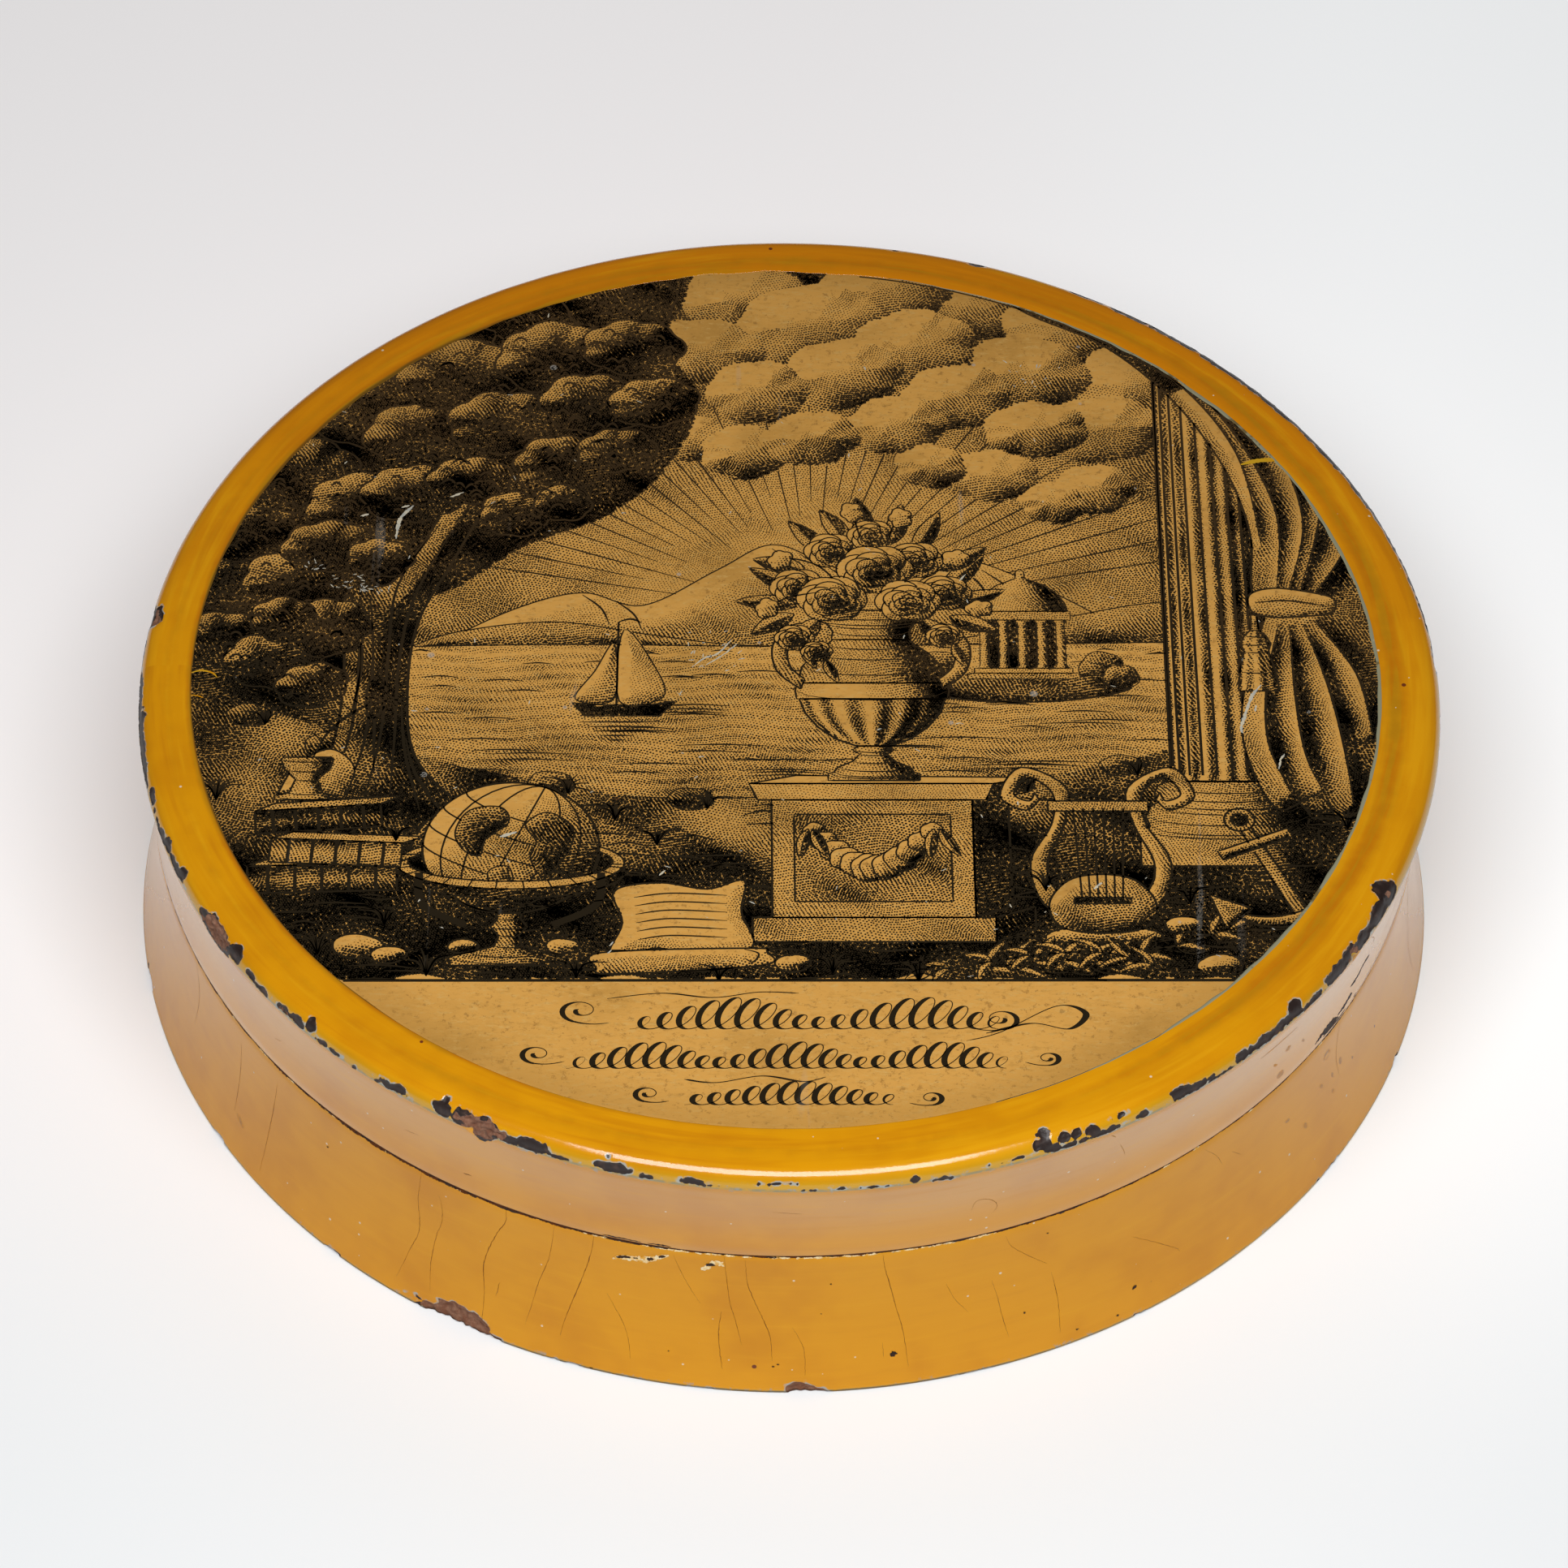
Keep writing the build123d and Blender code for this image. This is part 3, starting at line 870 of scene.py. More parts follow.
arris_chips = (
    (-173.2, 0.5, 7.2, 0.46), (-176.8, 0.5, 3.4, 0.5), (-171.2, 0.55, 4.2, 0.56), (-174.2, 0.9, 0.9, 0.4),
    (-164.7, 0.75, 1.0, 0.4), (-162.3, 0.55, 0.9, 0.18), (-160.4, 0.42, 1.5, 0.36), (-158.9, 0.68, 0.9, 0.5),
    (-156.2, 0.42, 1.8, 0.42), (-155.0, 0.85, 0.6, 0.46), (-149.6, 0.55, 1.4, 0.6), (-148.6, 1.0, 0.7, 0.42),
    (-147.8, 0.2, 2.6, 1.1), (-144.6, 0.75, 1.0, 0.68), (-142.1, 0.42, 0.75, 0.28), (-140.3, 0.3, 1.2, 0.26),
    (-137.2, 0.35, 0.85, 0.34), (-135.4, 0.4, 0.9, 0.5), (-134.0, 0.8, 0.55, 0.72), (-132.5, 0.2, 0.8, 0.26),
    (-130.9, 0.18, 0.65, 0.26), (-128.7, 0.0, 0.35, 0.25), (-126.1, 0.12, 0.35, 0.2),
    (-124.5, 0.32, 1.4, 0.34), (-123.8, 0.5, 0.7, 0.32), (-119.5, 0.6, 0.95, 0.65), (-119.4, 1.25, 0.4, 0.32),
    (-117.4, 0.55, 1.3, 0.75), (-115.4, 0.45, 1.6, 0.85), (-115.7, -0.3, 0.9, 0.7), (-113.3, 0.32, 1.3, 0.4),
    (-111.0, 0.45, 1.6, 0.55), (-108.3, 0.2, 0.8, 0.18), (-103.9, 0.45, 1.65, 0.42),
    (-104.5, 1.15, 0.22, 0.22), (-101.3, 0.18, 0.55, 0.22), (-97.3, 0.35, 0.95, 0.3), (-95.7, 0.2, 0.5, 0.1),
    (-90.4, 0.62, 0.9, 0.08), (-87.4, 0.08, 0.5, 0.1), (-85.2, 0.1, 0.5, 0.1), (-82.2, 0.05, 1.1, 0.09),
    (-78.9, 0.32, 0.45, 0.34), (-76.4, 0.0, 0.85, 0.24), (-70.6, 0.38, 1.1, 0.07), (-67.4, 1.5, 0.65, 0.42),
    (-67.7, 0.9, 0.85, 0.45), (-66.9, 0.3, 0.8, 0.36), (-65.8, 0.85, 0.55, 0.42), (-64.7, 0.9, 0.5, 0.4),
    (-65.5, 0.2, 0.8, 0.26), (-64.0, 0.22, 0.7, 0.2), (-63.2, 0.65, 0.7, 0.42), (-61.8, 0.22, 1.4, 0.26),
    (-60.5, 0.95, 0.7, 0.16), (-58.4, 0.3, 0.65, 0.32), (-54.6, 0.5, 1.1, 0.56), (-53.0, 0.32, 1.7, 0.36),
    (-50.8, 0.1, 2.0, 0.14), (-47.8, 0.45, 0.95, 0.42), (-45.3, 0.42, 1.2, 0.42), (-43.0, 0.42, 2.6, 0.36),
    (-41.1, 0.85, 0.85, 0.62), (-39.0, 0.25, 1.9, 0.3), (-35.0, 0.45, 2.0, 0.6), (-33.0, 0.58, 1.4, 0.58),
    (-31.0, 0.48, 1.9, 0.55), (-27.9, 0.62, 1.6, 0.72), (-25.6, 1.5, 0.95, 0.66), (-25.2, 0.75, 1.2, 0.8),
    (-7.3, 0.0, 0.8, 0.25), (-3.4, 0.0, 0.8, 0.3), (2.2, 0.1, 0.7, 0.2), (4.0, 0.1, 0.9, 0.3),
    (8.5, 0.0, 1.2, 0.12), (4.0, 0.35, 2.0, 0.5), (7.5, 0.55, 0.9, 0.4), (12.0, 0.55, 4.2, 0.46),
    (18.0, 0.68, 5.2, 0.54), (25.0, 0.84, 6.0, 0.62), (32.0, 1.0, 6.0, 0.7), (39.0, 1.12, 5.6, 0.7),
    (45.0, 1.2, 5.0, 0.66), (50.5, 1.28, 4.0, 0.58), (56.0, 1.34, 2.6, 0.44), (61.0, 1.3, 1.4, 0.3),
    (72.0, 1.5, 0.8, 0.42), (80.0, 1.5, 0.35, 0.2), (88.0, 0.0, 1.4, 0.15), (101.0, 0.05, 0.8, 0.3),
    (117.0, 0.05, 1.3, 0.2), (131.0, 0.0, 2.2, 0.15), (145.2, 0.3, 1.3, 0.45), (152.5, 0.1, 0.8, 0.2),
    (160.0, 0.1, 1.6, 0.2), (173.6, 1.2, 1.35, 0.75), (173.2, 0.55, 1.5, 0.62), (176.6, 0.4, 1.8, 0.3),
)
arris_core = (
    (-148.0, 0.3, 2.1, 1.15), (-115.9, 0.35, 2.2, 0.8), (-115.7, -0.35, 0.8, 0.6), (-32.4, 0.1, 0.9, 0.6),
    (-32.2, -0.4, 0.6, 0.5), (-25.3, 0.9, 0.3, 0.25), (173.8, 1.3, 0.85, 0.5), (-137.3, 0.3, 0.4, 0.2),
)
jag = ripple(lid_turn, lid_along, 0.6, 1.5, 20, 11)
fingers = ripple(lid_turn, lid_along * 0.4, 0.35, 0.8, 14, 12)
chip_depth = lobes(lid_turn, lid_along, arris_chips) + 0.055 * jag + 0.03 * fingers
chip_depth = np.where(chipped_rows[:, None], chip_depth, -5.0)
core_depth = lobes(lid_turn, lid_along, arris_core) + 0.12 * ripple(lid_turn, lid_along, 0.6, 1.3, 14, 13)
lump = ripple(lid_turn, lid_along, 0.4, 1.1, 16, 14)
dent = recess(chip_depth, arris_chip_edge, arris_chip_floor)
dent += recess(core_depth, arris_core_edge, arris_core_floor) * (1 + 0.4 * lump)


def turned_off_centre(turn):
    """How far the frame's arris lies outside its true circle, as it was turned a little off the bore's
    centre."""
    moved = arris_moved_right * np.cos(turn) - arris_moved_front * np.sin(turn)
    return moved - arris_flat_back * np.clip(np.sin(turn), 0, 1) ** 2


def lid_wobble(turn, along):
    """How far the hand-sanded lid lies inside its true outline, with a slight unevenness of the brushed
    lacquer."""
    sanded = lid_sanding * (1 + ripple(turn, along * 0.3, 7.0, 40.0, 12, 15) / 3)
    return sanded + brush_relief * (1 + ripple(turn, along, 1.5, 5.0, 14, 16) / 3)


slopes = np.gradient(lid_section, axis=0)
outward = np.stack([slopes[:, 1], -slopes[:, 0]], -1)
outward /= np.linalg.norm(outward, axis=1)[:, None]
outer_rows = (from_arris > along_section[3] - along_section[arris_row]) & (from_arris < 4.9)
sink = np.where(outer_rows[:, None], lid_wobble(lid_turn, lid_along) + dent, 0.0)
sink = sink * np.clip(4.2 - from_arris, 0, 1)[:, None]
lid_rings -= outward[:, None] * sink[..., None]
up_side = np.clip((lid_rings[..., 1] - base_side_height) / lid_side_height, 0, 1)
across_frame = np.clip((lid_rings[..., 0] - bore_radius) / (arris_radius - bore_radius), 0, 1)
up_side = np.where((from_arris <= 0)[:, None], up_side, across_frame)
lid_rings[..., 0] += outer_rows[:, None] * up_side * turned_off_centre(lid_turn)
groove_turns = np.radians((-180, -150, -120, -90, -70, -60, -45, -30, -15, 0, 15, 45, 90, 120, 150, 180))
groove_radii = (
    45.2, 45.25, 45.3, 45.35, 45.2, 44.8, 44.6, 44.5, 44.6, 44.3, 44.4, 44.45, 44.2, 44.5, 44.8, 45.2,
)
groove_shares = (0.4, 0.35, 0.6, 0.4, 0.35, 0.6, 0.9, 1.1, 1.0, 1.0, 1.0, 0.8, 0.8, 0.5, 0.5, 0.4)
groove_middle = np.interp(lid_turn, groove_turns, groove_radii)
groove_hold = np.interp(lid_turn, groove_turns, groove_shares)
on_band = (from_arris > 2.2)[:, None] & (lid_rings[..., 1] > crown_height - 0.2)
hollow = groove_hold * np.exp(-(((lid_rings[..., 0] - groove_middle) / groove_spread) ** 2)) * on_band
stain_width = np.interp(lid_turn, np.radians((-60, -20, 35, 70)), (0.55, 0.85, 0.85, 0.6))
stained = groove_hold * np.exp(-(((lid_rings[..., 0] - groove_middle) / stain_width) ** 2)) * on_band
lid_rings[..., 1] -= groove_depth * hollow
lapped = np.clip(0.2 - 1.2 * np.cos(lid_turn[0]), 0.0, 1)


def lap(turn):
    """How far the brushed lacquer reaches in over the print."""
    places = np.radians((-180, -165, -150, -120, -90, -60, -30, 0, 15, 30, 45, 60, 90, 120, 150, 180))
    reaches = (0.12, 0.18, 0.16, 0.1, 0.12, 0.13, 0.16, 0.16, 0.3, 0.4, 0.38, 0.5, 0.64, 0.5, 0.28, 0.14)
    reach = np.interp((turn + math.pi) % (2 * math.pi) - math.pi, places, reaches)
    return reach * (1 + 0.08 * ripple(turn, 0.0 * turn, 2.0, 12.0, 16, 17))


overlap = lap(lid_turn[0])
lip_rows = slice(rows - 4, rows - 1)
lid_rings[lip_rows, :, 0] -= overlap
lap_paint = np.clip((bore_radius + 0.45 - lid_rings[..., 0]) / 0.5, 0, 1.3) * lapped
thin_paint = lap_paint * (lid_rings[..., 1] > crown_height - 0.1) + 0.72 * stained
lid_bake = np.where((from_arris > -8.4) & (from_arris < 4.7), 1.0, hidden_weight)
lid_piece = revolve("upper_hoop", lid_rings, turns, lid_bake)
# Dark brown along the upper hoop's lower edge: dirt in the parting line, and painted shade of the gap.
parting_dirt = np.clip((base_side_height + 0.14 - lid_rings[..., 1]) / parting_dirt_fade, 0, 1)
lining = (lid_rings[..., 0] < bore_radius + 0.5) & (lid_rings[..., 1] < crown_height - 0.4)
mark(
    lid_piece, chip=chip_depth, core=core_depth, arris=lid_along, thin=thin_paint, dirt=parting_dirt,
    lining=lining,
)
lid_piece.data.materials.append(ochre_finish("ochre_lacquer_lid", lid_gloss))
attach(lid_piece, "lid")
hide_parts("lid_hoop")
refinish("lid_board", dark_finish("dark_lacquer_lid_board"))


# Marks on the upper hoop: two gouges beside the parting line on the right, stains and a few fine scratches.
# They are slivers of colour on the lacquer, like those of the lower hoop.

side_rows = (lid_section[:, 0] > waist_radius - 0.06) & (from_arris <= 0)
side_rows &= lid_section[:, 1] <= arris_height


def lid_surface(turn, height):
    """The upper hoop's radius outside, where it isn't chipped."""
    along = np.interp(height, lid_section[side_rows, 1], from_arris[side_rows])
    off_centre = (height - base_side_height) / lid_side_height * turned_off_centre(turn)
    return np.interp(height, side_path[:, 1], side_path[:, 0]) + off_centre - lid_wobble(turn, along)


gouges = (
    (((-35.5, 14.1), (-34.6, 14.4), (-33.8, 14.5), (-33.0, 14.65), (-32.2, 14.45)), 0.6),
    (((-34.2, 14.1), (-33.0, 14.2), (-31.6, 14.1)), 0.5),
    (((-31.8, 14.4), (-30.6, 14.6), (-29.8, 14.85), (-29.3, 14.8)), 0.5),
    (((-34.2, 13.82), (-33.0, 13.86), (-31.4, 13.75), (-30.2, 13.85)), 0.2),
    (((-30.2, 16.4), (-29.2, 16.4), (-28.4, 16.75)), 0.46),
    (((-28.7, 16.8), (-27.7, 17.2), (-26.9, 17.05)), 0.44),
    (((-105.3, 13.62), (-103.6, 13.66), (-101.9, 13.62)), 0.13),
    (((-101.3, 13.62), (-100.0, 13.68), (-99.3, 13.62)), 0.15), (((-28.6, 13.8), (-28.2, 13.9)), 0.2),
    (((152.0, 15.0), (153.4, 15.3)), 0.3),
)
lid_stains = (
    (((-41.3, 15.2), (-40.6, 14.5)), 0.75), (((-40.9, 18.0), (-40.5, 17.5)), 0.5),
    (((-42.4, 17.1), (-41.9, 16.6)), 0.24), (((-38.4, 17.0), (-38.0, 16.4)), 0.24),
    (((-45.0, 19.9), (-42.8, 20.0), (-40.3, 20.05)), 0.2), (((88.0, 17.0), (88.9, 16.4)), 0.6),
)
scratches = (
    (((-73.6, 16.8), (-73.3, 17.8), (-72.5, 17.9), (-71.7, 17.4), (-71.3, 16.6), (-71.6, 15.9)), 0.045),
    (((-60.2, 19.4), (-59.7, 18.4), (-59.4, 17.6)), 0.04), (((-61.4, 21.3), (-60.9, 20.8)), 0.08),
    (((-124.0, 17.4), (-122.5, 17.6)), 0.04), (((-139.9, 16.8), (-139.0, 17.2)), 0.05),
    (((-118.2, 15.5), (-117.4, 15.6)), 0.09), (((-90.6, 19.0), (-88.2, 18.8)), 0.035),
    (((-28.9, 21.0), (-27.4, 19.6), (-26.8, 18.4)), 0.05), (((40.0, 18.0), (44.0, 18.6)), 0.04),
    (((120.0, 19.4), (124.0, 18.2)), 0.045),
)
side_marks("lid_stains", lid_stains, lid_surface, "lid", stained_lacquer, above=0.003, ragged=0.25)
scratched_lacquer = mottled("scratched_lacquer", crack_black, stain_brown, 900.0, 0.5, 0.1)
side_marks("lid_scratches", scratches, lid_surface, "lid", scratched_lacquer, above=0.004, ragged=0.3)
side_marks("gouges", gouges, lid_surface, "lid", knocked_lacquer, above=0.006, ragged=0.45)


# Print: a round of paper pasted on the lid's board, printed in brown-black and varnished over. The paper has
# tanned and its varnish is rubbed and scratched. The lacquer of the frame laps over its edge, and at the
# right, where it doesn't, old varnish fills the gap.

print_margin = 0.02
print_thickness = 0.15
print_radius = bore_radius - print_margin
print_top = crown_height - print_recess
paper_tan = (0.68, 0.35, 0.077)
paper_brown = (0.4, 0.205, 0.042)
paper_pale = (0.66, 0.4, 0.12)
paper_grime = (0.22, 0.1, 0.022)
paper_spot = (0.2, 0.08, 0.02)
seam_grey = (0.29, 0.28, 0.18)
seam_dark = (0.16, 0.12, 0.05)
seam_pale = (0.42, 0.42, 0.3)
varnish_haze = (0.42, 0.4, 0.36)

varnish, _, result, place = effect("varnish_wear", (), ("Haze", "Roughness", "Height"))


def stretched(place, scale, turn=0.0):
    """A place scaled by a factor for each axis, then turned about the upright one."""
    feeds = {0: place, "Rotation": (0.0, 0.0, turn), "Scale": scale}
    return node(place.id_data, "Mapping", feeds).outputs[0]


one_way = ramp(cloud(stretched(place, (700.0, 90.0, 700.0), 0.6), 1.0, 2.0), 0.68, 0.74)
other_way = ramp(cloud(stretched(place, (800.0, 70.0, 800.0), -0.9), 1.0, 2.0), 0.7, 0.75)
where = ramp(cloud(place, 60.0, 3.0), 0.52, 0.66)
rubs = times(sum_of("MAXIMUM", one_way, other_way), where)
specks = dots(place, 500.0, 0.08, 0.16)
haze = sum_of("MAXIMUM", times(rubs, 0.16), times(specks, 0.5))
gloss = times(rubs, 0.2, times(cloud(place, 220.0, 4.0), 0.16, 0.12))
peel = sum_of("SUBTRACT", times(cloud(place, 900.0, 3.0), 0.01), times(rubs, 0.004))
feed(result, {"Haze": haze, "Roughness": gloss, "Height": peel})


def varnished(shader, colour):
    """Feeds a shader a colour under the worn varnish."""
    haze, gloss, relief = node(shader.id_data, "Group", node_tree=varnish).outputs
    coat(shader, blend_colour(haze, colour, varnish_haze), gloss, relief)


paper, shader, place = new_finish("varnished_paper")
fibre_lie = stretched(place, (900.0, 2400.0, 900.0))
tan = blend_colour(ramp(cloud(place, 90.0, 4.0, 0.6), 0.45, 0.75, 0.0, 0.7), paper_tan, paper_brown)
tan = blend_colour(ramp(cloud(fibre_lie, 1.0, 4.0, 0.8), 0.5, 0.68, 0.0, 0.75), tan, paper_pale)
tan = blend_colour(ramp(cloud(fibre_lie, 1.3, 4.0, 0.8), 0.5, 0.3, 0.0, 0.5), tan, paper_brown)
grime = ramp(cloud(place, 1900.0, 4.0, 0.75), 0.56, 0.66, 0.0, 0.5)
tan = blend_colour(grime, tan, paper_grime)
tan = blend_colour(dots(place, 330.0, 0.12, 0.12), tan, paper_spot)
varnished(shader, blend_colour(ramp(from_axis(place), 0.0395, 0.0433, 0.0, 0.45), tan, paper_brown))

map_reach = 2.06
under_depth = 0.06
under_middle = 0.07
under_scale = 0.12
print_turns = np.linspace(0, 2 * math.pi, 360, endpoint=False)
print_bottom = print_top - print_thickness
paper_rings = np.array([
    (14.0, print_top), (28.0, print_top), (print_radius - 0.3, print_top),
    (print_radius - 0.08, print_top - 0.012), (print_radius, print_top - 0.05), (print_radius, print_bottom),
    (20.0, print_bottom),
])


def round_sheet(name, rings, turns):
    """A closed disc: rings of (radius, height) from the top's middle over the edge to the bottom's middle,
    and a flat face at each end."""
    radius, height = rings[:, :1], rings[:, 1:]
    points = round_points(radius, height, turns)
    sides = grid_faces(len(rings), len(turns), False, True)[:, ::-1]
    top = np.arange(len(turns))[None]
    bottom = top[:, ::-1] + (len(rings) - 1) * len(turns)
    made = mesh_piece(name, points, sides, top, bottom)
    plan_map(made, points, np.concatenate([sides.ravel(), top.ravel(), bottom.ravel()]))
    return made


def plan_map(piece, points, corners):
    """Stores the map for baking: each corner's place seen from above, and the underside small in a corner."""
    spots = points[corners]
    under = spots[:, 2:] < print_top - under_depth
    plan = spots[:, :2] / (map_reach * print_radius)
    store_map(piece, np.where(under, under_middle + plan * under_scale, 0.5 + plan))


sheet = round_sheet("print_paper", paper_rings, print_turns)
sheet.data.materials.append(paper)
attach(sheet, "lid")
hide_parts("print_sheet")

seam_turns = np.radians(np.linspace(-70, 80, 340))
seam_ends = np.minimum((np.degrees(seam_turns) + 70) / 28, (80 - np.degrees(seam_turns)) / 35)
seam_width = 0.22 * np.clip(seam_ends, 0.02, 1)
seam_width = seam_width * (1 + 0.2 * ripple(seam_turns, 0 * seam_turns, 2.0, 9.0, 16, 31))
seam_edge = bore_radius - lap(seam_turns)
seam_steps = np.array([
    (0, 0.06, -0.1), (0, 0.06, 0.02), (0, -0.04, 0.03), (0.5, 0, 0.026), (1, 0, 0.016), (1, -0.02, -0.1),
])
seam_share, seam_out, seam_up = seam_steps.T[..., None]
seam_points = round_points(seam_edge - seam_share * seam_width + seam_out, print_top + seam_up, seam_turns)
seam_sides = grid_faces(len(seam_steps), len(seam_turns), True, False)
seam_start = np.arange(len(seam_steps))[None] * len(seam_turns)
seam_end = seam_start[:, ::-1] + len(seam_turns) - 1
seam = mesh_piece("varnish_seam", seam_points, seam_sides, seam_start, seam_end)
plan_map(seam, seam_points, np.concatenate([seam_sides.ravel(), seam_start.ravel(), seam_end.ravel()]))
seam_finish, shader, place = new_finish("seam_varnish")
patches = cloud(place, 320.0, 4.0, 0.7)
shade = blend_colour(ramp(patches, 0.34, 0.42), seam_dark, seam_grey)
shade = blend_colour(ramp(patches, 0.62, 0.7), shade, seam_pale)
coat(shader, shade, ramp(patches, 0.3, 0.9, 0.15, 0.4), cloud(place, 1200.0, 3.0), 0.00001)
seam.data.materials.append(seam_finish)
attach(seam, "lid")


# The picture printed on the paper: a made-up garden by the water, cut as an engraver cuts it.
# Rows of dots swell into dark and thin out into light, and fine tapering lines draw the edges of things.

ink_black = (0.018, 0.012, 0.005)
ink_brown = (0.055, 0.03, 0.01)
chord_height = -29.8
light_from = np.array([-0.6, 0.8])
art_chance = np.random.default_rng(21)


def near_line(x, y, line, closed=True):
    """For each point: how far the line is, the unit direction to its nearest spot, and the share along it."""
    run = (np.roll(line, -1, axis=0) if closed else np.vstack([line[1:], line[-1:]])) - line
    length = np.maximum((run**2).sum(1), 1e-12)
    best = np.full(x.shape, 1e9)
    to_x, to_y, share = np.zeros_like(x), np.zeros_like(x), np.zeros_like(x)
    for index in range(len(line) if closed else len(line) - 1):
        ahead = (x - line[index, 0]) * run[index, 0] + (y - line[index, 1]) * run[index, 1]
        t = np.clip(ahead / length[index], 0, 1)
        gap_x = line[index, 0] + t * run[index, 0] - x
        gap_y = line[index, 1] + t * run[index, 1] - y
        gap = np.hypot(gap_x, gap_y)
        nearer = gap < best
        best = np.where(nearer, gap, best)
        to_x, to_y = np.where(nearer, gap_x, to_x), np.where(nearer, gap_y, to_y)
        share = np.where(nearer, (index + t) / len(line), share)
    scale = np.maximum(best, 1e-9)
    return best, to_x / scale, to_y / scale, share


def within(x, y, loop):
    """Whether points are inside a closed loop: a line to the left crosses it an odd number of times."""
    odd = np.zeros(x.shape, bool)
    for (ax, ay), (bx, by) in zip(loop, np.roll(loop, -1, axis=0)):
        if ay != by:
            crosses = (ay > y) != (by > y)
            odd ^= crosses & (x < ax + (y - ay) * (bx - ax) / (by - ay))
    return odd


layers = []
strokes = []
line_weight = 1.18
longest_run = 0.45
fold_contrast = 0.45


def finer(line):
    """The same line with points added evenly on its long runs, so that a part of it can be hidden."""
    line = np.asarray(line, float)
    runs = np.hypot(*np.diff(line, axis=0).T)
    shares = [np.arange(count) / count for count in np.maximum(np.ceil(runs / longest_run).astype(int), 1)]
    place = np.append(np.concatenate([index + share for index, share in enumerate(shares)]), len(line) - 1.0)
    return np.stack([np.interp(place, np.arange(len(line)), line[:, axis]) for axis in (0, 1)], -1)


def stroke(line, width, taper=0.35):
    """A cut line of that width in millimetres, thinner towards its ends. Later shapes hide it."""
    line = finer(line)
    along = np.linspace(0, 1, len(line))
    swell = np.clip(np.minimum(along, 1 - along) / taper, 0, 1) if taper else np.ones(len(line))
    strokes.append((len(layers), line, line_weight * width * (0.35 + 0.65 * swell)))


def shape(loop, tone, outline=0.13):
    """A closed form in front of all before it, with a tone for each point in it and a cut outline."""
    loop = np.asarray(loop, float)
    layers.append((loop, tone))
    if outline:
        edge = finer(np.vstack([loop, loop[:1]]))
        strokes.append((len(layers), edge, np.full(len(edge), line_weight * outline)))


def rounded(base, contrast, width, fade=0.0):
    """Tone of a form that curves away within width of its edge: lighter where it faces the light, darker
    behind."""
    def tone(x, y, loop):
        gap, to_x, to_y, _ = near_line(x, y, loop)
        lean = np.clip(1 - gap / width, 0, 1)
        return base - contrast * lean * (to_x * light_from[0] + to_y * light_from[1]) + fade * lean
    return tone


def flat(base):
    """One even tone."""
    def tone(x, y, loop):
        return np.full(x.shape, base)
    return tone


def ruled(base, depth):
    """A tone with fine level lines in it."""
    def tone(x, y, loop):
        return base + depth * np.sin(9 * y)
    return tone


def slab(left, foot, right, top, tone, outline):
    """A rectangle of one even tone."""
    shape([(left, foot), (right, foot), (right, top), (left, top)], flat(tone), outline)


def bow(turn, wide, high, rise=0.0):
    """The points of an ellipse at some turns, lifted by rise."""
    return np.stack([wide * np.cos(turn), high * np.sin(turn) + rise], -1)


def leaning(points, lean):
    """Points turned about their origin by lean, from right towards up."""
    return points @ np.array([[math.cos(lean), math.sin(lean)], [-math.sin(lean), math.cos(lean)]])


def turned(centre, profile, base, contrast, flutes=0, outline=0.13, ribs=True, flute_depth=0.25):
    """A form turned round an upright axis: its outline is (height, radius) pairs either side of the centre.
    It is lightest left of the middle and darkest at the right, and flutes makes that many upright lobes
    across it."""
    heights, radii = np.array(profile, float).T
    right = np.stack([centre + radii, heights], -1)
    left = np.stack([centre - radii, heights], -1)[::-1]

    def tone(x, y, loop):
        order = np.argsort(heights, kind="stable")
        radius = np.maximum(np.interp(y, heights[order], radii[order]), 0.05)
        across = np.clip((x - centre) / radius, -1, 1)
        dark = base + contrast * (0.75 * (across + 0.42) ** 2 - 0.28 + 0.25 * (across > 0.2) * (across - 0.2))
        if flutes:
            dark = dark - flute_depth * np.cos(np.arcsin(across) * flutes * 2 + 0.6)
        return dark
    shape(np.vstack([right, left]), tone, outline)
    if ribs:
        half = np.linspace(-1, 1, 15)
        for height, radius in profile[1:-1]:
            sag = 0.16 * radius * (1 - half**2) ** 0.5
            stroke(np.stack([centre + half * radius * 0.98, height - sag], -1), 0.1)


def puff(centre_x, centre_y, size, bumps, tone, outline, squash=1.0, wild=0.1):
    """A rounded tuft: a circle with a few bumps of random strength round it."""
    turn = np.linspace(0, 2 * math.pi, 12 + 5 * bumps, endpoint=False)
    start = art_chance.uniform(0, 6.3, 2)
    swell = 1 + wild * np.abs(np.cos(turn * bumps / 2 + start[0])) + 0.5 * wild * np.cos(2 * turn + start[1])
    out_x, out_y = size * swell * np.cos(turn), squash * size * swell * np.sin(turn)
    loop = np.stack([centre_x + out_x, centre_y + out_y], -1)
    shape(loop, tone, outline)
    return loop


def leaf(x, y, turn, length, width, dark=0.75, pale=0.3, outline=0.1):
    """A pointed leaf from its stalk at (x, y), pale on one side of the midrib and dark on the other."""
    t = np.linspace(0, 1, 9)
    half = width * np.sin(math.pi * t) ** 0.8 * (1 - 0.35 * t)
    ahead, aside = np.array([math.cos(turn), math.sin(turn)]), np.array([-math.sin(turn), math.cos(turn)])
    spine = np.array([x, y]) + length * t[:, None] * ahead + 0.12 * length * (t**2)[:, None] * aside
    loop = np.vstack([spine + half[:, None] * aside, (spine - half[:, None] * aside)[-2:0:-1]])

    def tone(px, py, _):
        along = (px - x) * ahead[0] + (py - y) * ahead[1]
        side = (px - x) * aside[0] + (py - y) * aside[1] - 0.12 * along**2 / length
        return np.where(side * (aside @ light_from) > 0, pale, dark)
    shape(loop, tone, outline)
    stroke(spine[1:-1], 0.1)


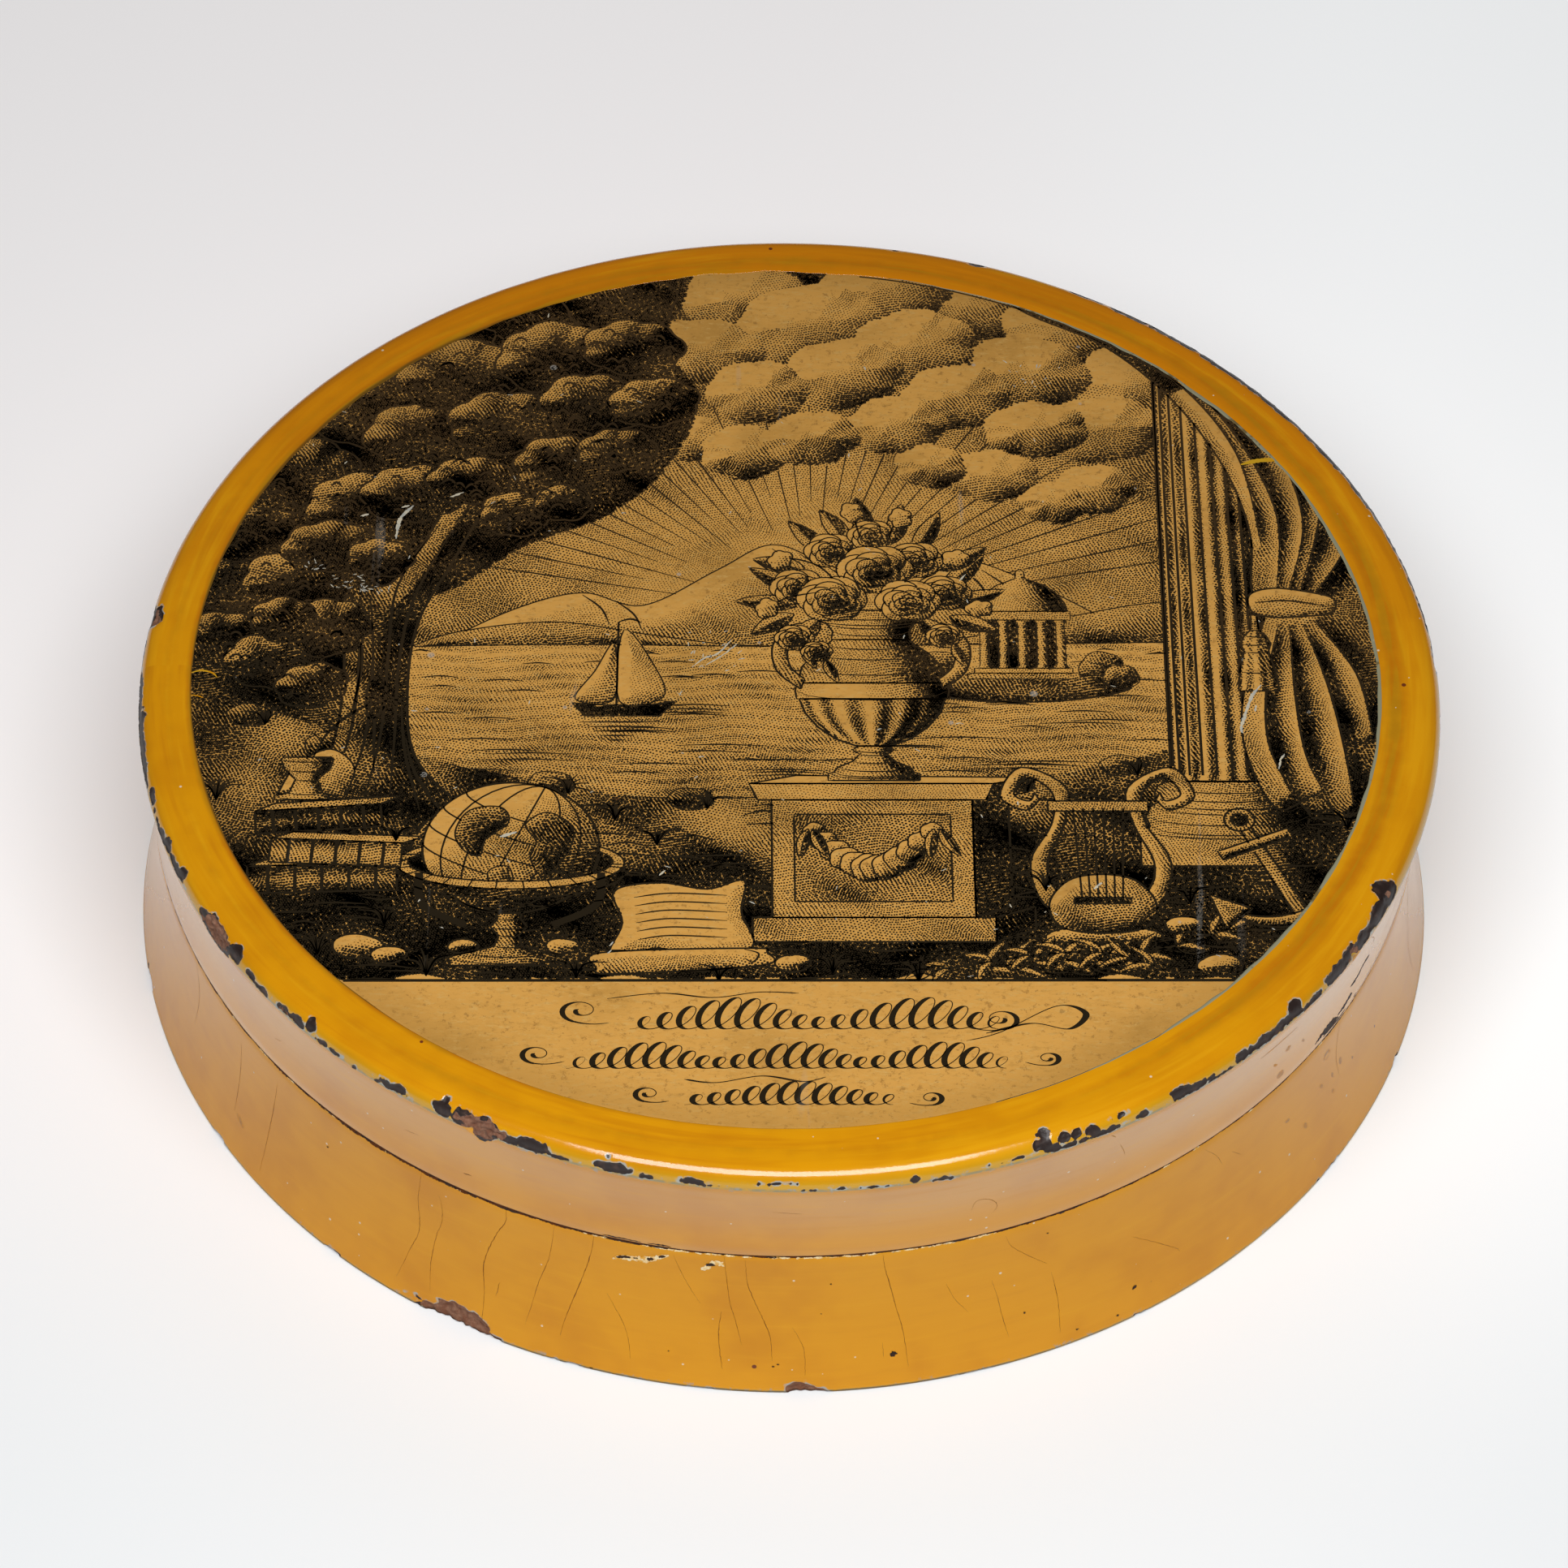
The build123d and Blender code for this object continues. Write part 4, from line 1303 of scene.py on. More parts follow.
def cloth(loop, base, folds):
    """Hanging cloth: each fold is a smooth line and a width, dark in its hollow and pale on the side to the
    light."""
    lines = [(through(points, 7), width) for points, width in folds]

    def tone(x, y, edge):
        dark = np.full(x.shape, base)
        for line, width in lines:
            gap, to_x, to_y, share = near_line(x, y, line, closed=False)
            side = np.sign(to_x * light_from[0] + to_y * light_from[1])
            hold = np.sin(math.pi * np.clip(share, 0.02, 0.98)) ** 0.4
            dark = dark + fold_contrast * hold * side * np.exp(-((gap / width) ** 2)) - 0.02
        gap, to_x, to_y, _ = near_line(x, y, edge)
        return dark - 0.25 * np.clip(1 - gap / 1.2, 0, 1) * (to_x * light_from[0] + to_y * light_from[1])
    shape(loop, tone, 0.14)
    for line, width in lines:
        stroke(line, 0.16)


def sky(x, y):
    """Darker away from the glow over the water, with the faintest drift across."""
    far = np.hypot((x - 2) / 1.15, y - 6)
    return 0.1 + 0.62 * np.clip(far / 34, 0, 1.1) ** 1.3 + 0.03 * np.sin(x * 0.35 + 0.2 * y)


glow = np.array([2.0, 6.0])
for turn in np.radians(np.arange(12, 172, 4.6)):
    _, near, far = art_chance.uniform((0, 9, 24), (1, 13, 34))
    ahead = np.array([math.cos(turn), math.sin(turn)])
    stroke(glow + np.linspace(near, far, 14)[:, None] * ahead, 0.13, 0.5)

for x, y, size in (
    (14, 39, 4.6), (22, 36.5, 5.2), (8, 41, 5), (-3, 40, 4.6), (2, 37, 5.2), (27, 30.5, 5.0), (18, 31.5, 4.8),
    (10, 34.5, 4.6), (-6, 34, 4.2), (24, 25.5, 4.2), (13, 29, 4.0), (4.5, 31.5, 4.4), (-2, 29.5, 3.8),
    (19, 25.5, 3.6), (8.5, 26, 3.6), (-7, 24.5, 2.8), (-3, 23, 3.2), (2, 24.5, 3.4), (23, 19, 3.0),
    (15.5, 20.5, 3.3), (11, 21.5, 2.6), (20, 17.6, 2.4),
):
    puff(x, y, size, 6, rounded(0.24, 0.5, size * 0.95, 0.12), 0.0, 0.82)

mountains = through([
    (-26, 2.6), (-20, 6.5), (-15, 8.2), (-10.5, 6.9), (-5, 10.6), (-1, 13.2), (3, 11.2), (8, 8.6), (13, 11.4),
    (17, 10), (22, 6.6), (27, 2.6),
])
shape(mountains, rounded(0.3, 0.3, 3.2), 0.1)
for x, y, length in (
    (-1, 12.8, 6), (-2.4, 11.6, 5), (1, 12.3, 6.5), (3, 11, 5), (12.5, 11, 5), (14.5, 10.6, 6), (-15, 8, 4),
    (-12.6, 7.4, 4), (17, 9.6, 5),
):
    line = [(x, y), (x + 0.35 * length, y - 0.35 * length), (x + 0.5 * length, y - 0.75 * length)]
    stroke(through(line), 0.14)
hills = through([(-28, 2.4), (-24, 4.2), (-17, 5.2), (-10, 3.9), (-4, 2.9), (4, 2.6)])
shape(hills, rounded(0.5, 0.25, 2.0), 0.1)
shape(
    through([(8, 2.4), (14, 3.8), (21, 5.8), (28, 7.2), (33, 5.4), (33, 2.2)]), rounded(0.52, 0.25, 2.4), 0.1,
)

lake = through([
    (-31, 2.6), (-16, 2.9), (0, 2.7), (16, 2.9), (34, 2.6), (34, -3), (24, -9), (4, -12), (-14, -12),
    (-28, -8),
])


def water(x, y, loop):
    """Pale and dark waves that darken towards the near shore."""
    return 0.13 + 0.17 * np.sin(y * 3.1 + 0.7 * np.sin(x * 0.5)) ** 2 + 0.014 * (2 - y)


def dash(x, y, length, middle, end, width):
    """A nearly level stroke from (x, y), which rises by middle half way along and by end at its end."""
    stroke(through([(x, y), (x + length * 0.5, y + middle), (x + length, y + end)]), width, 0.5)


shape(lake, water, 0.1)
for _ in range(95):
    y = 2.4 - 13 * art_chance.random() ** 1.2
    x = art_chance.uniform(-28, 30)
    length = (1.6 + 0.35 * (2.5 - y)) * art_chance.uniform(0.6, 1.5)
    dash(x, y, length, 0.12, -0.04, 0.13)

shape(
    through([(9.5, -1.2), (13, -0.2), (18, 0.2), (23, -0.4), (25, -1.6), (20, -2.8), (13, -2.7)], 6, True),
    rounded(0.62, 0.3, 1.0),
)
for x, y, size in ((11.3, 0.6, 1.5), (23.0, 0.4, 1.6), (24.4, -0.4, 1.2), (10.0, -0.3, 1.1)):
    puff(x, y, size, 5, rounded(0.72, 0.45, size), 0.08)
slab(13.2, -0.6, 21.4, 0.0, 0.35, 0.09)
slab(13.7, 0.0, 20.9, 0.5, 0.2, 0.09)
slab(14.3, 0.5, 20.3, 5.4, 0.85, 0.0)
for x in (14.5, 15.9, 17.3, 18.7, 20.1):
    turned(x, [(0.5, 0.5), (0.8, 0.36), (5.0, 0.3), (5.4, 0.5)], 0.3, 0.5, 0, 0.07, False)
slab(13.7, 5.4, 20.9, 6.3, 0.28, 0.09)
turned(
    17.3,
    [(6.3, 3.4), (7.2, 3.2), (8.2, 2.6), (9.0, 1.7), (9.5, 0.7), (9.7, 0.35), (10.4, 0.3), (10.6, 0.05)],
    0.35, 0.6, 0, 0.1, False,
)

shape([(-15.6, -3.0), (-14.7, -4.3), (-9.3, -4.3), (-8.0, -2.8), (-10, -3.2), (-13.6, -3.2)], flat(0.85), 0.1)
shape(
    through([(-12.2, -2.8), (-9.0, -2.4), (-9.6, 0.6), (-11.9, 4.4)], 6, True), rounded(0.22, 0.4, 1.4), 0.1,
)
shape(
    through([(-12.6, -2.6), (-15.4, -2.6), (-14.0, 0.2), (-12.6, 3.0)], 6, True), rounded(0.34, 0.35, 1.2),
    0.1,
)
stroke([(-12.4, -3.4), (-12.3, 5.2)], 0.14, 0)
stroke(through([(-12.3, 5.2), (-11.4, 5.5), (-10.6, 5.1)]), 0.16)
for offset in range(5):
    level = -4.9 - 0.45 * offset
    stroke([(-15.0 + 0.5 * offset, level), (-9.0 - 0.7 * offset, level)], 0.15, 0.4)

ground = through([
    (-46, 1), (-38, -3.4), (-29, -7.4), (-20, -10.2), (-10, -12.4), (2, -12.8), (12, -11.6), (22, -9.4),
    (31, -6.4), (38, -2.6), (46, 1), (46, -34), (-46, -34),
], 7)


def earth(x, y, loop):
    """Dark in front, lighter towards the shore, uneven, with a pale clearing in the middle."""
    dark = 0.78 + 0.22 * np.clip((-18 - y) / 8, -0.8, 1) + 0.1 * np.sin(0.55 * x + 1.3 * np.sin(0.4 * y))
    return dark - 0.3 * np.exp(-((x + 3) / 9) ** 2 - ((y + 15.5) / 3) ** 2)


shape(ground, earth, 0.0)
for _ in range(260):
    x, y = art_chance.uniform(-43, 43), art_chance.uniform(-30, -10)
    length = art_chance.uniform(1.5, 5.0)
    if abs(x) < 38 and not (y > -10.5 - 2.6 * math.cos(x / 14)):
        dash(x, y, length, art_chance.uniform(-0.3, 0.5), art_chance.uniform(-0.4, 0.4), 0.17)


def tuft(x, y, height, blades):
    """A tuft of grass: blades that fan out from one spot and bend over."""
    for lean in np.linspace(-0.9, 0.9, blades) + art_chance.uniform(-0.12, 0.12, blades):
        rise = height * art_chance.uniform(0.7, 1.1)
        tip = (x + rise * lean, y + rise * (1 - 0.35 * abs(lean)))
        stroke(through([(x, y), (x + 0.35 * rise * lean, y + 0.6 * rise), tip], 5), 0.17, 0.6)


for x, y, size in (
    (-39, -4.6, 1.5), (-33, -7.6, 1.8), (-17, -11.4, 1.6), (-7, -12.9, 1.5), (16, -11.2, 1.7),
    (24, -9.6, 1.4),
):
    puff(x, y + 0.4, size, 5, rounded(0.74, 0.4, size * 0.9), 0.09, 0.7)
    tuft(x + 1.2, y - 0.6, 2.2, 7)

foliage_mass = through([
    (-45, 12), (-42, 4), (-36.5, -1.5), (-31, 1), (-29, 6), (-24, 9), (-19.5, 13), (-13, 16.5), (-8.5, 22),
    (-6.5, 29), (-9, 35), (-8, 42), (-20, 45), (-40, 30),
], 8)
trunk = through([
    (-36.5, -15.5), (-33.5, -10), (-32.3, -2), (-33, 6), (-37, 14), (-34.8, 16), (-31.2, 10.5), (-29.4, 9),
    (-27, 13), (-24, 20), (-21.8, 19.4), (-24.4, 12), (-27, 5.2), (-27.6, -2), (-26.8, -8.5), (-23.2, -13.4),
    (-20.6, -15.6), (-25.5, -14.4), (-27.5, -18), (-29.6, -14.6), (-33, -17.4), (-33.4, -14.4),
], 7, True)
shape(foliage_mass, flat(1.05), 0.0)
shape(trunk, rounded(0.7, 0.5, 2.6, 0.1), 0.18)
for points in (
    [(-34.6, -14.6), (-32, -8), (-31.2, 0), (-31.8, 7), (-34.6, 13.5)],
    [(-32.4, -14), (-30.6, -7), (-30.2, 1), (-30.6, 8)],
    [(-30.6, -13.6), (-29.4, -6), (-29.1, 2), (-28.6, 9), (-25.6, 15.5)],
    [(-28.6, -13.2), (-28.4, -6), (-28.3, 1), (-27.4, 7.6), (-24.8, 14.6)],
    [(-26.4, -13.6), (-27.6, -8), (-28, -3)], [(-24.6, -14.2), (-26.8, -10), (-27.6, -6.5)],
    [(-31.6, -4), (-31, 1), (-31.4, 5)], [(-29.8, -10), (-29.9, -4), (-29.6, 0)],
):
    stroke(through(points), 0.2)
shape(through([(-30.3, -4.6), (-29.2, -3.2), (-29.4, -0.6), (-30.5, -1.4)], 5, True), flat(1.0), 0.15)

for x, y, size in (
    (-40.5, 9.5, 3.6), (-41, 3.4, 3.0), (-39.4, 14.8, 4.0), (-33, 34, 4.0), (-36.5, 20.5, 4.2),
    (-31.5, 27.6, 4.4), (-26.5, 36, 4.2), (-19, 38.6, 4.2), (-12.5, 39.6, 3.8), (-36.2, 9.2, 3.6),
    (-37.4, 1.2, 3.2), (-31.8, 17, 3.8), (-26.8, 24.8, 4.2), (-24.6, 31.4, 4.2), (-17.6, 33.4, 4.0),
    (-11.4, 34.4, 3.4), (-34, 13, 3.0), (-33.6, 4.6, 3.0), (-27.8, 18.6, 3.4), (-21, 26.2, 3.8),
    (-17, 21.6, 3.2), (-14.4, 28.2, 3.6), (-9.8, 28.4, 3.0), (-34.6, -1.2, 2.4), (-23.6, 20, 2.8),
    (-12.6, 23.2, 2.6), (-20.2, 16.4, 2.4), (-30, 11.8, 2.2), (-16.6, 17.6, 2.0), (-36.8, 5.4, 2.4),
):
    puff(x, y, size, 7, rounded(0.86, 0.7, size * 0.75, 0.05), 0.15, 0.86, 0.13)
    for _ in range(int(5 * size)):
        turn, out = art_chance.uniform(0, 6.3), size * art_chance.uniform(0.15, 0.92)
        px, py = x + out * math.cos(turn), y + 0.86 * out * math.sin(turn)
        bend = art_chance.uniform(0.35, 0.6)
        rise = [(px - bend, py - 0.2), (px - 0.3 * bend, py + 0.45 * bend)]
        fall = [(px + 0.4 * bend, py + 0.4 * bend), (px + bend, py - 0.25)]
        stroke(through(rise + fall, 3), 0.19, 0.3)

turned(31.5, [
    (-19, 6.4), (-15.4, 6.4), (-15.2, 5.6), (-14.2, 5.9), (-13.2, 5.5), (-12.8, 4.9), (-12, 5.2),
    (-11.2, 4.9), (-10.8, 4.3),
], 0.42, 0.5)
turned(31.5, [(-10.8, 4.2), (-10, 3.9), (8, 3.75), (40, 3.4)], 0.46, 0.5, 9, 0.18, False, 0.34)
for across in np.sin(np.linspace(-1.3, 1.3, 10)):
    stroke(np.stack([31.5 + across * np.array([3.85, 3.75, 3.5]), np.array([-10.2, 8, 36])], -1), 0.17, 0)

curtain = through([
    (13, 45), (18, 38.8), (24.5, 34.6), (29.5, 28.6), (33, 21.4), (34.6, 14.4), (34.4, 8.6), (35.4, 6.6),
    (33.6, 0), (33, -7), (35, -13.4), (38, -12.2), (40.5, -14.4), (46, -9), (48, 10), (40, 30), (24, 46),
], 8)
cloth(
    curtain, 0.74,
    (
        ([(20, 41), (27, 35), (33, 27), (36.6, 17), (36.2, 8)], 1.2),
        ([(24, 40), (31, 33.5), (36.4, 25), (38.6, 16), (37, 8)], 1.2),
        ([(29, 38), (36, 29), (40, 19), (38, 8.4)], 1.3),
        ([(16.5, 41.5), (23, 36.8), (29.6, 31), (34, 23), (35.4, 13)], 1.0),
        ([(36.2, 5), (35, -1), (34.8, -7), (36.2, -12)], 1.1),
        ([(37, 5), (37, -2), (37.4, -8), (38.4, -11.6)], 1.1),
        ([(38, 5), (39.4, -1), (40.2, -7), (40.6, -13)], 1.2), ([(38.8, 5.4), (41.6, 0), (42.4, -6)], 1.2),
        ([(39, 8), (42, 14), (42.6, 22)], 1.3),
    ),
)
shape(through(
    [(34.2, 8.0), (36, 8.7), (38.6, 8.3), (40.4, 7.6), (40.2, 6.2), (38.2, 5.8), (35.8, 5.7), (34.3, 6.3)], 5,
    True,
), rounded(0.3, 0.5, 1.0), 0.15)
stroke(through([(34.6, 7.2), (37, 7.4), (40, 6.8)]), 0.15)
turned(
    34.4, [(-1.8, 1.5), (0.2, 1.3), (2.2, 0.9), (3.0, 1.1), (3.8, 0.8), (4.4, 0.3), (6.0, 0.2)], 0.4, 0.5, 4,
    0.13,
)

slab(-2.6, -26.2, 14.6, -23.9, 0.36, 0.14)
shape([(14.6, -26.2), (17.4, -25.0), (17.4, -22.9), (14.6, -23.9)], flat(0.9), 0.14)
shape([(-1.2, -23.9), (13.2, -23.9), (13.2, -12.6), (-1.2, -12.6)], ruled(0.34, 0.05), 0.14)
shape([(13.2, -23.9), (15.8, -22.8), (15.8, -12.0), (13.2, -12.6)], ruled(0.88, 0.1), 0.14)
slab(0.4, -22.4, 11.6, -14.0, 0.5, 0.12)
shape([(-2.2, -12.6), (14.2, -12.6), (14.8, -11.0), (-2.8, -11.0)], flat(0.22), 0.14)
shape([(14.2, -12.6), (17.0, -11.9), (17.6, -10.4), (14.8, -11.0)], flat(0.85), 0.13)
shape([(-2.8, -11.0), (14.8, -11.0), (17.6, -10.4), (0.6, -10.2)], flat(0.12), 0.12)
for share in np.linspace(0, 1, 12):
    swell = math.sin(math.pi * share)
    tone = rounded(0.4, 0.55, 0.8)
    puff(1.8 + 8.4 * share, -15.6 - 3.6 * swell, 0.75 + 0.45 * swell, 5, tone, 0.11)
for x, turn in ((1.4, -1.9), (1.7, -1.3), (10.4, -1.8), (10.8, -1.2)):
    leaf(x, -15.4, turn, 3.0, 0.55)

urn_x = 6.2
turned(urn_x, [
    (-10.7, 3.3), (-10.0, 3.3), (-9.9, 2.9), (-9.4, 2.6), (-8.8, 1.5), (-8.1, 1.0), (-7.7, 1.5), (-7.3, 1.1),
], 0.4, 0.55)
turned(
    urn_x, [(-7.3, 1.2), (-6.6, 2.7), (-5.4, 4.0), (-4.0, 4.9), (-2.6, 5.3)], 0.45, 0.5, 7, 0.15, False, 0.28,
)
turned(urn_x, [(-2.6, 5.5), (-1.8, 5.6), (-1.0, 5.5)], 0.25, 0.5)
turned(urn_x, [(-1.0, 5.4), (0.6, 5.1), (2.0, 4.2), (2.9, 3.2), (3.4, 2.8)], 0.42, 0.6)
turned(urn_x, [(3.4, 2.9), (4.2, 2.8), (5.0, 3.2), (5.5, 4.2), (6.1, 4.4), (6.4, 4.3)], 0.38, 0.6)
for side in (-1, 1):
    outer = [(5.2, -1.6), (6.9, 0.2), (7.2, 2.8), (5.9, 4.8), (3.9, 5.2)]
    inner = [(3.6, 4.4), (5.2, 4.0), (6.1, 2.4), (5.9, 0.6), (4.9, -0.6)]
    loop = np.vstack([through(outer, 5), through(inner, 5)]) * np.array([side, 1]) + np.array([urn_x, 0])
    shape(loop, rounded(0.4, 0.5, 0.5), 0.13)


def rose(x, y, size):
    """A full-blown rose: a round of petals, and in it others that are ever smaller and set round each
    other."""
    for ring, (share, petals) in enumerate(((1.0, 6), (0.74, 5), (0.5, 4), (0.28, 3))):
        for turn in np.linspace(0, 2 * math.pi, petals, endpoint=False) + 0.5 * ring:
            petal_x = x + 0.42 * size * share * math.cos(turn)
            petal_y = y + 0.38 * size * share * math.sin(turn)
            tone = rounded(0.16 + 0.16 * ring, 0.5, 0.55 * size * share, 0.1)
            puff(petal_x, petal_y, 0.62 * size * share, 2, tone, 0.1, 0.9, 0.06)


for x, y, turn, length in (
    (0.8, 6.8, 2.9, 4.6), (1.2, 8.0, 2.4, 4.8), (11.6, 7.0, 0.2, 4.8), (11.4, 8.6, 0.7, 4.8),
    (3.0, 12.0, 2.1, 4.6), (9.4, 12.4, 1.0, 4.8), (6.0, 13.4, 1.6, 4.8), (0.6, 6.0, 3.6, 3.8),
    (12.0, 5.8, -0.5, 3.8), (4.6, 13.2, 1.95, 4.2), (7.8, 13.2, 1.25, 4.4), (1.6, 10.4, 2.7, 4.2),
    (11.2, 10.6, 0.45, 4.4), (2.4, 5.6, 4.1, 3.4), (9.8, 5.6, -0.9, 3.4),
):
    leaf(x, y, turn, length, 0.95)
for x, y, size in (
    (3.4, 12.6, 1.9), (9.6, 11.6, 2.0), (6.4, 14.2, 1.7), (0.9, 8.8, 2.0), (11.7, 8.2, 1.9), (6.6, 10.6, 2.7),
    (3.4, 7.6, 2.5), (9.0, 7.4, 2.3),
):
    rose(x, y, size)
for x, y in ((-0.4, 11.6), (12.6, 11.8), (5.0, 16.6), (8.6, 16.0), (-1.4, 6.6), (14.2, 6.6)):
    stroke(through([(0.5 * x + 3.2, 0.5 * y + 5), (0.8 * x + 1.2, 0.8 * y + 2.4), (x, y)]), 0.14)
    puff(x, y, 0.8, 5, rounded(0.25, 0.5, 0.7), 0.11, 1.0, 0.25)
for x, y, size in ((0.6, 3.6, 1.4), (2.2, 2.2, 1.1), (11.6, 3.8, 1.3)):
    rose(x, y, size)
    leaf(x + 0.6, y - 0.8, -1.3, 2.6, 0.5)

globe = np.array([-19.8, -17.2])
globe_size = 6.3
globe_lean = math.radians(-22)
ring = bow(np.linspace(0, 2 * math.pi, 60, endpoint=False), 1.0, 1.0)
half_ring = np.linspace(-1, 1, 21) * math.pi / 2
turned(globe[0], [
    (-28.4, 4.0), (-27.6, 4.2), (-27.2, 2.8), (-26.6, 1.0), (-25.6, 0.7), (-24.8, 1.3), (-24.0, 0.8),
    (-23.0, 1.0),
], 0.5, 0.5)
shape(globe + ring * np.array([8.1, 2.5]) + [0, -1.5], flat(0.25), 0.13)
shape(globe + ring * np.array([7.3, 2.0]) + [0, -1.4], flat(0.95), 0.1)
shape(globe + globe_size * ring, rounded(0.36, 0.62, 5.2, 0.05), 0.16)
for tilt in (-0.85, -0.45, 0.0, 0.45, 0.85):
    stroke(globe + leaning(bow(half_ring, math.sin(tilt), 1.0) * globe_size, globe_lean), 0.12, 0)
for level in (-0.6, -0.3, 0.0, 0.3, 0.6):
    arc = np.stack([np.sin(half_ring) * math.sqrt(1 - level**2), level - 0.18 * np.cos(half_ring)], -1)
    stroke(globe + leaning(arc * globe_size, globe_lean), 0.12, 0)
for blot in (
    [(-4.0, 1.5), (-3.0, 3.6), (-0.8, 3.9), (-0.2, 2.4), (-1.8, 0.8), (-2.2, -0.8), (-3.4, -0.2)],
    [(1.0, 2.2), (2.6, 3.4), (4.4, 1.8), (4.0, -0.6), (2.4, -2.8), (1.4, -1.0), (1.8, 0.6)],
    [(-1.6, -2.4), (-0.2, -1.8), (0.2, -3.6), (-0.9, -4.6)],
):
    shape(globe + through(blot, 5, True), rounded(0.66, 0.3, 1.0), 0.11)
front = np.linspace(math.pi * 1.02, math.pi * 1.98, 25)
band = np.vstack([bow(front, 8.1, 2.5, -1.5), bow(front, 7.2, 1.75, -1.5)[::-1]])
shape(globe + band, flat(0.2), 0.13)
shape(globe + np.vstack([band[:25], band[:25][::-1] - [0, 0.9]]), flat(0.75), 0.13)
for place in np.linspace(1, 23, 12).astype(int):
    stroke(globe + np.stack([band[place], band[49 - place]]), 0.1, 0)
for foot in (-3.4, 3.4):
    stroke(globe + through([(foot * 1.9, -2.4), (foot * 1.8, -5.5), (foot * 0.9, -7.4)]), 0.5, 0)


def book(x, y, width, height, slant, dark):
    """A closed book that lies on its side: its spine to the front, with raised bands, and its paler page
    edges."""
    ahead = np.array([math.cos(slant), math.sin(slant)])
    up = np.array([-math.sin(slant), math.cos(slant)])
    corner = np.array([x, y])
    across, rise = width * ahead, height * up
    spine = [corner, corner + rise, corner + across + rise, corner + across]

    def tone(px, py, _):
        risen = ((px - x) * up[0] + (py - y) * up[1]) / height
        return dark + 0.35 * np.abs(risen - 0.45) * 2 - 0.1
    shape(spine, tone, 0.15)
    for share in (0.14, 0.32, 0.5, 0.68, 0.86):
        low = corner + share * width * ahead
        stroke(np.stack([low + 0.08 * up, low + (height - 0.08) * up]), 0.22, 0)
    depth = 0.55 * height * up + 0.3 * width * ahead
    shape([spine[1], spine[2], spine[2] + 0.55 * depth, spine[1] + 0.55 * depth], flat(0.6 * dark), 0.14)


book(-38.4, -21.6, 10.6, 2.6, 0.03, 0.6)
book(-37.0, -18.6, 9.4, 2.3, -0.05, 0.42)
book(-38.0, -15.9, 9.0, 2.2, 0.08, 0.66)
shape(
    through([(-36.6, -12.0), (-35.4, -9.2), (-33.0, -7.6), (-31.2, -9.4), (-31.8, -12.2)], 6),
    rounded(0.3, 0.5, 1.6), 0.13,
)
turned(
    -34.6, [(-12.6, 2.2), (-12.2, 2.3), (-11.9, 1.2), (-10.6, 0.8), (-9.6, 1.6), (-8.6, 1.9), (-8.4, 1.7)],
    0.4, 0.5,
)
quill = through([(-34.2, -8.4), (-33.0, -5.6), (-30.4, -3.2), (-27.6, -2.6)])
stroke(quill, 0.28, 0.6)
for share in np.linspace(0.25, 0.95, 9):
    spot = quill[int(share * 23)]
    stroke(np.stack([spot, spot + [-0.9, 0.9]]), 0.14, 0.5)
    stroke(np.stack([spot, spot + [0.9, -0.5]]), 0.14, 0.5)

page = through([
    (-12.6, -27.4), (-11.8, -24.4), (-12.4, -21.4), (-9.2, -20.6), (-5.8, -21.2), (-3.2, -20.4),
    (-3.4, -23.4), (-2.6, -26.6), (-6.0, -27.6), (-9.2, -26.8),
], 6, True)
shape(page, rounded(0.14, 0.3, 1.2), 0.14)
for level in np.linspace(0, 1, 6):
    drop = 0.8 * level * 5
    line = [(-11.0 + 0.3 * level, -22.0 - drop), (-8.4, -21.9 - drop + 0.3), (-4.4, -21.8 - drop)]
    stroke(through(line), 0.11, 0.2)
turned(-12.4, [(-28.6, 1.0), (-27.8, 1.25), (-27.0, 1.0)], 0.3, 0.4, 0, 0.13)
shape(through(
    [(-13.6, -28.6), (-12.4, -29.2), (-2.0, -28.4), (-1.6, -27.2), (-2.8, -26.8), (-13.2, -27.2)], 6, True,
), rounded(0.26, 0.4, 0.8), 0.14)
stroke(through([(-3.2, -26.9), (-2.2, -27.3), (-2.6, -28.1), (-3.2, -27.7)]), 0.13)

lyre = np.array([22.2, -17.6])
arm = [
    (-1.4, -7.0), (-4.2, -5.0), (-5.0, -1.0), (-3.4, 2.6), (-3.2, 5.6), (-4.9, 7.2), (-6.0, 5.6), (-4.9, 4.9),
    (-4.5, 5.8),
]
back = [
    (-4.2, 5.0), (-5.2, 4.0), (-7.0, 5.4), (-5.4, 8.2), (-2.2, 6.2), (-2.5, 2.6), (-3.8, -1.0), (-3.2, -3.8),
    (-0.6, -5.4),
]
shape(
    lyre + through([(-3.6, -8.6), (3.6, -8.6), (3.0, -7.4), (-3.0, -7.4)], 4, True), rounded(0.4, 0.5, 0.8),
    0.14,
)
for side in (-1, 1):
    shape(
        lyre + np.vstack([through(arm, 5), through(back, 5)]) * np.array([side, 1]), rounded(0.34, 0.5, 0.7),
        0.14,
    )
shape(
    lyre + through([
        (-3.0, -7.2), (-3.8, -5.0), (-2.4, -2.8), (0, -2.2), (2.4, -2.8), (3.8, -5.0), (3.0, -7.2), (0, -7.8),
    ], 6, True),
    rounded(0.44, 0.5, 1.8), 0.15,
)
shape(lyre + np.array([(-3.6, 3.9), (3.6, 3.9), (3.6, 4.9), (-3.6, 4.9)]), flat(0.3), 0.14)
for x in np.linspace(-1.8, 1.8, 6):
    stroke(lyre + np.array([(x * 0.8, -4.6), (x, 4.2)]), 0.13, 0)
shape(lyre + np.array([(-2.0, -5.0), (2.0, -5.0), (2.0, -4.4), (-2.0, -4.4)]), flat(1.0), 0.1)


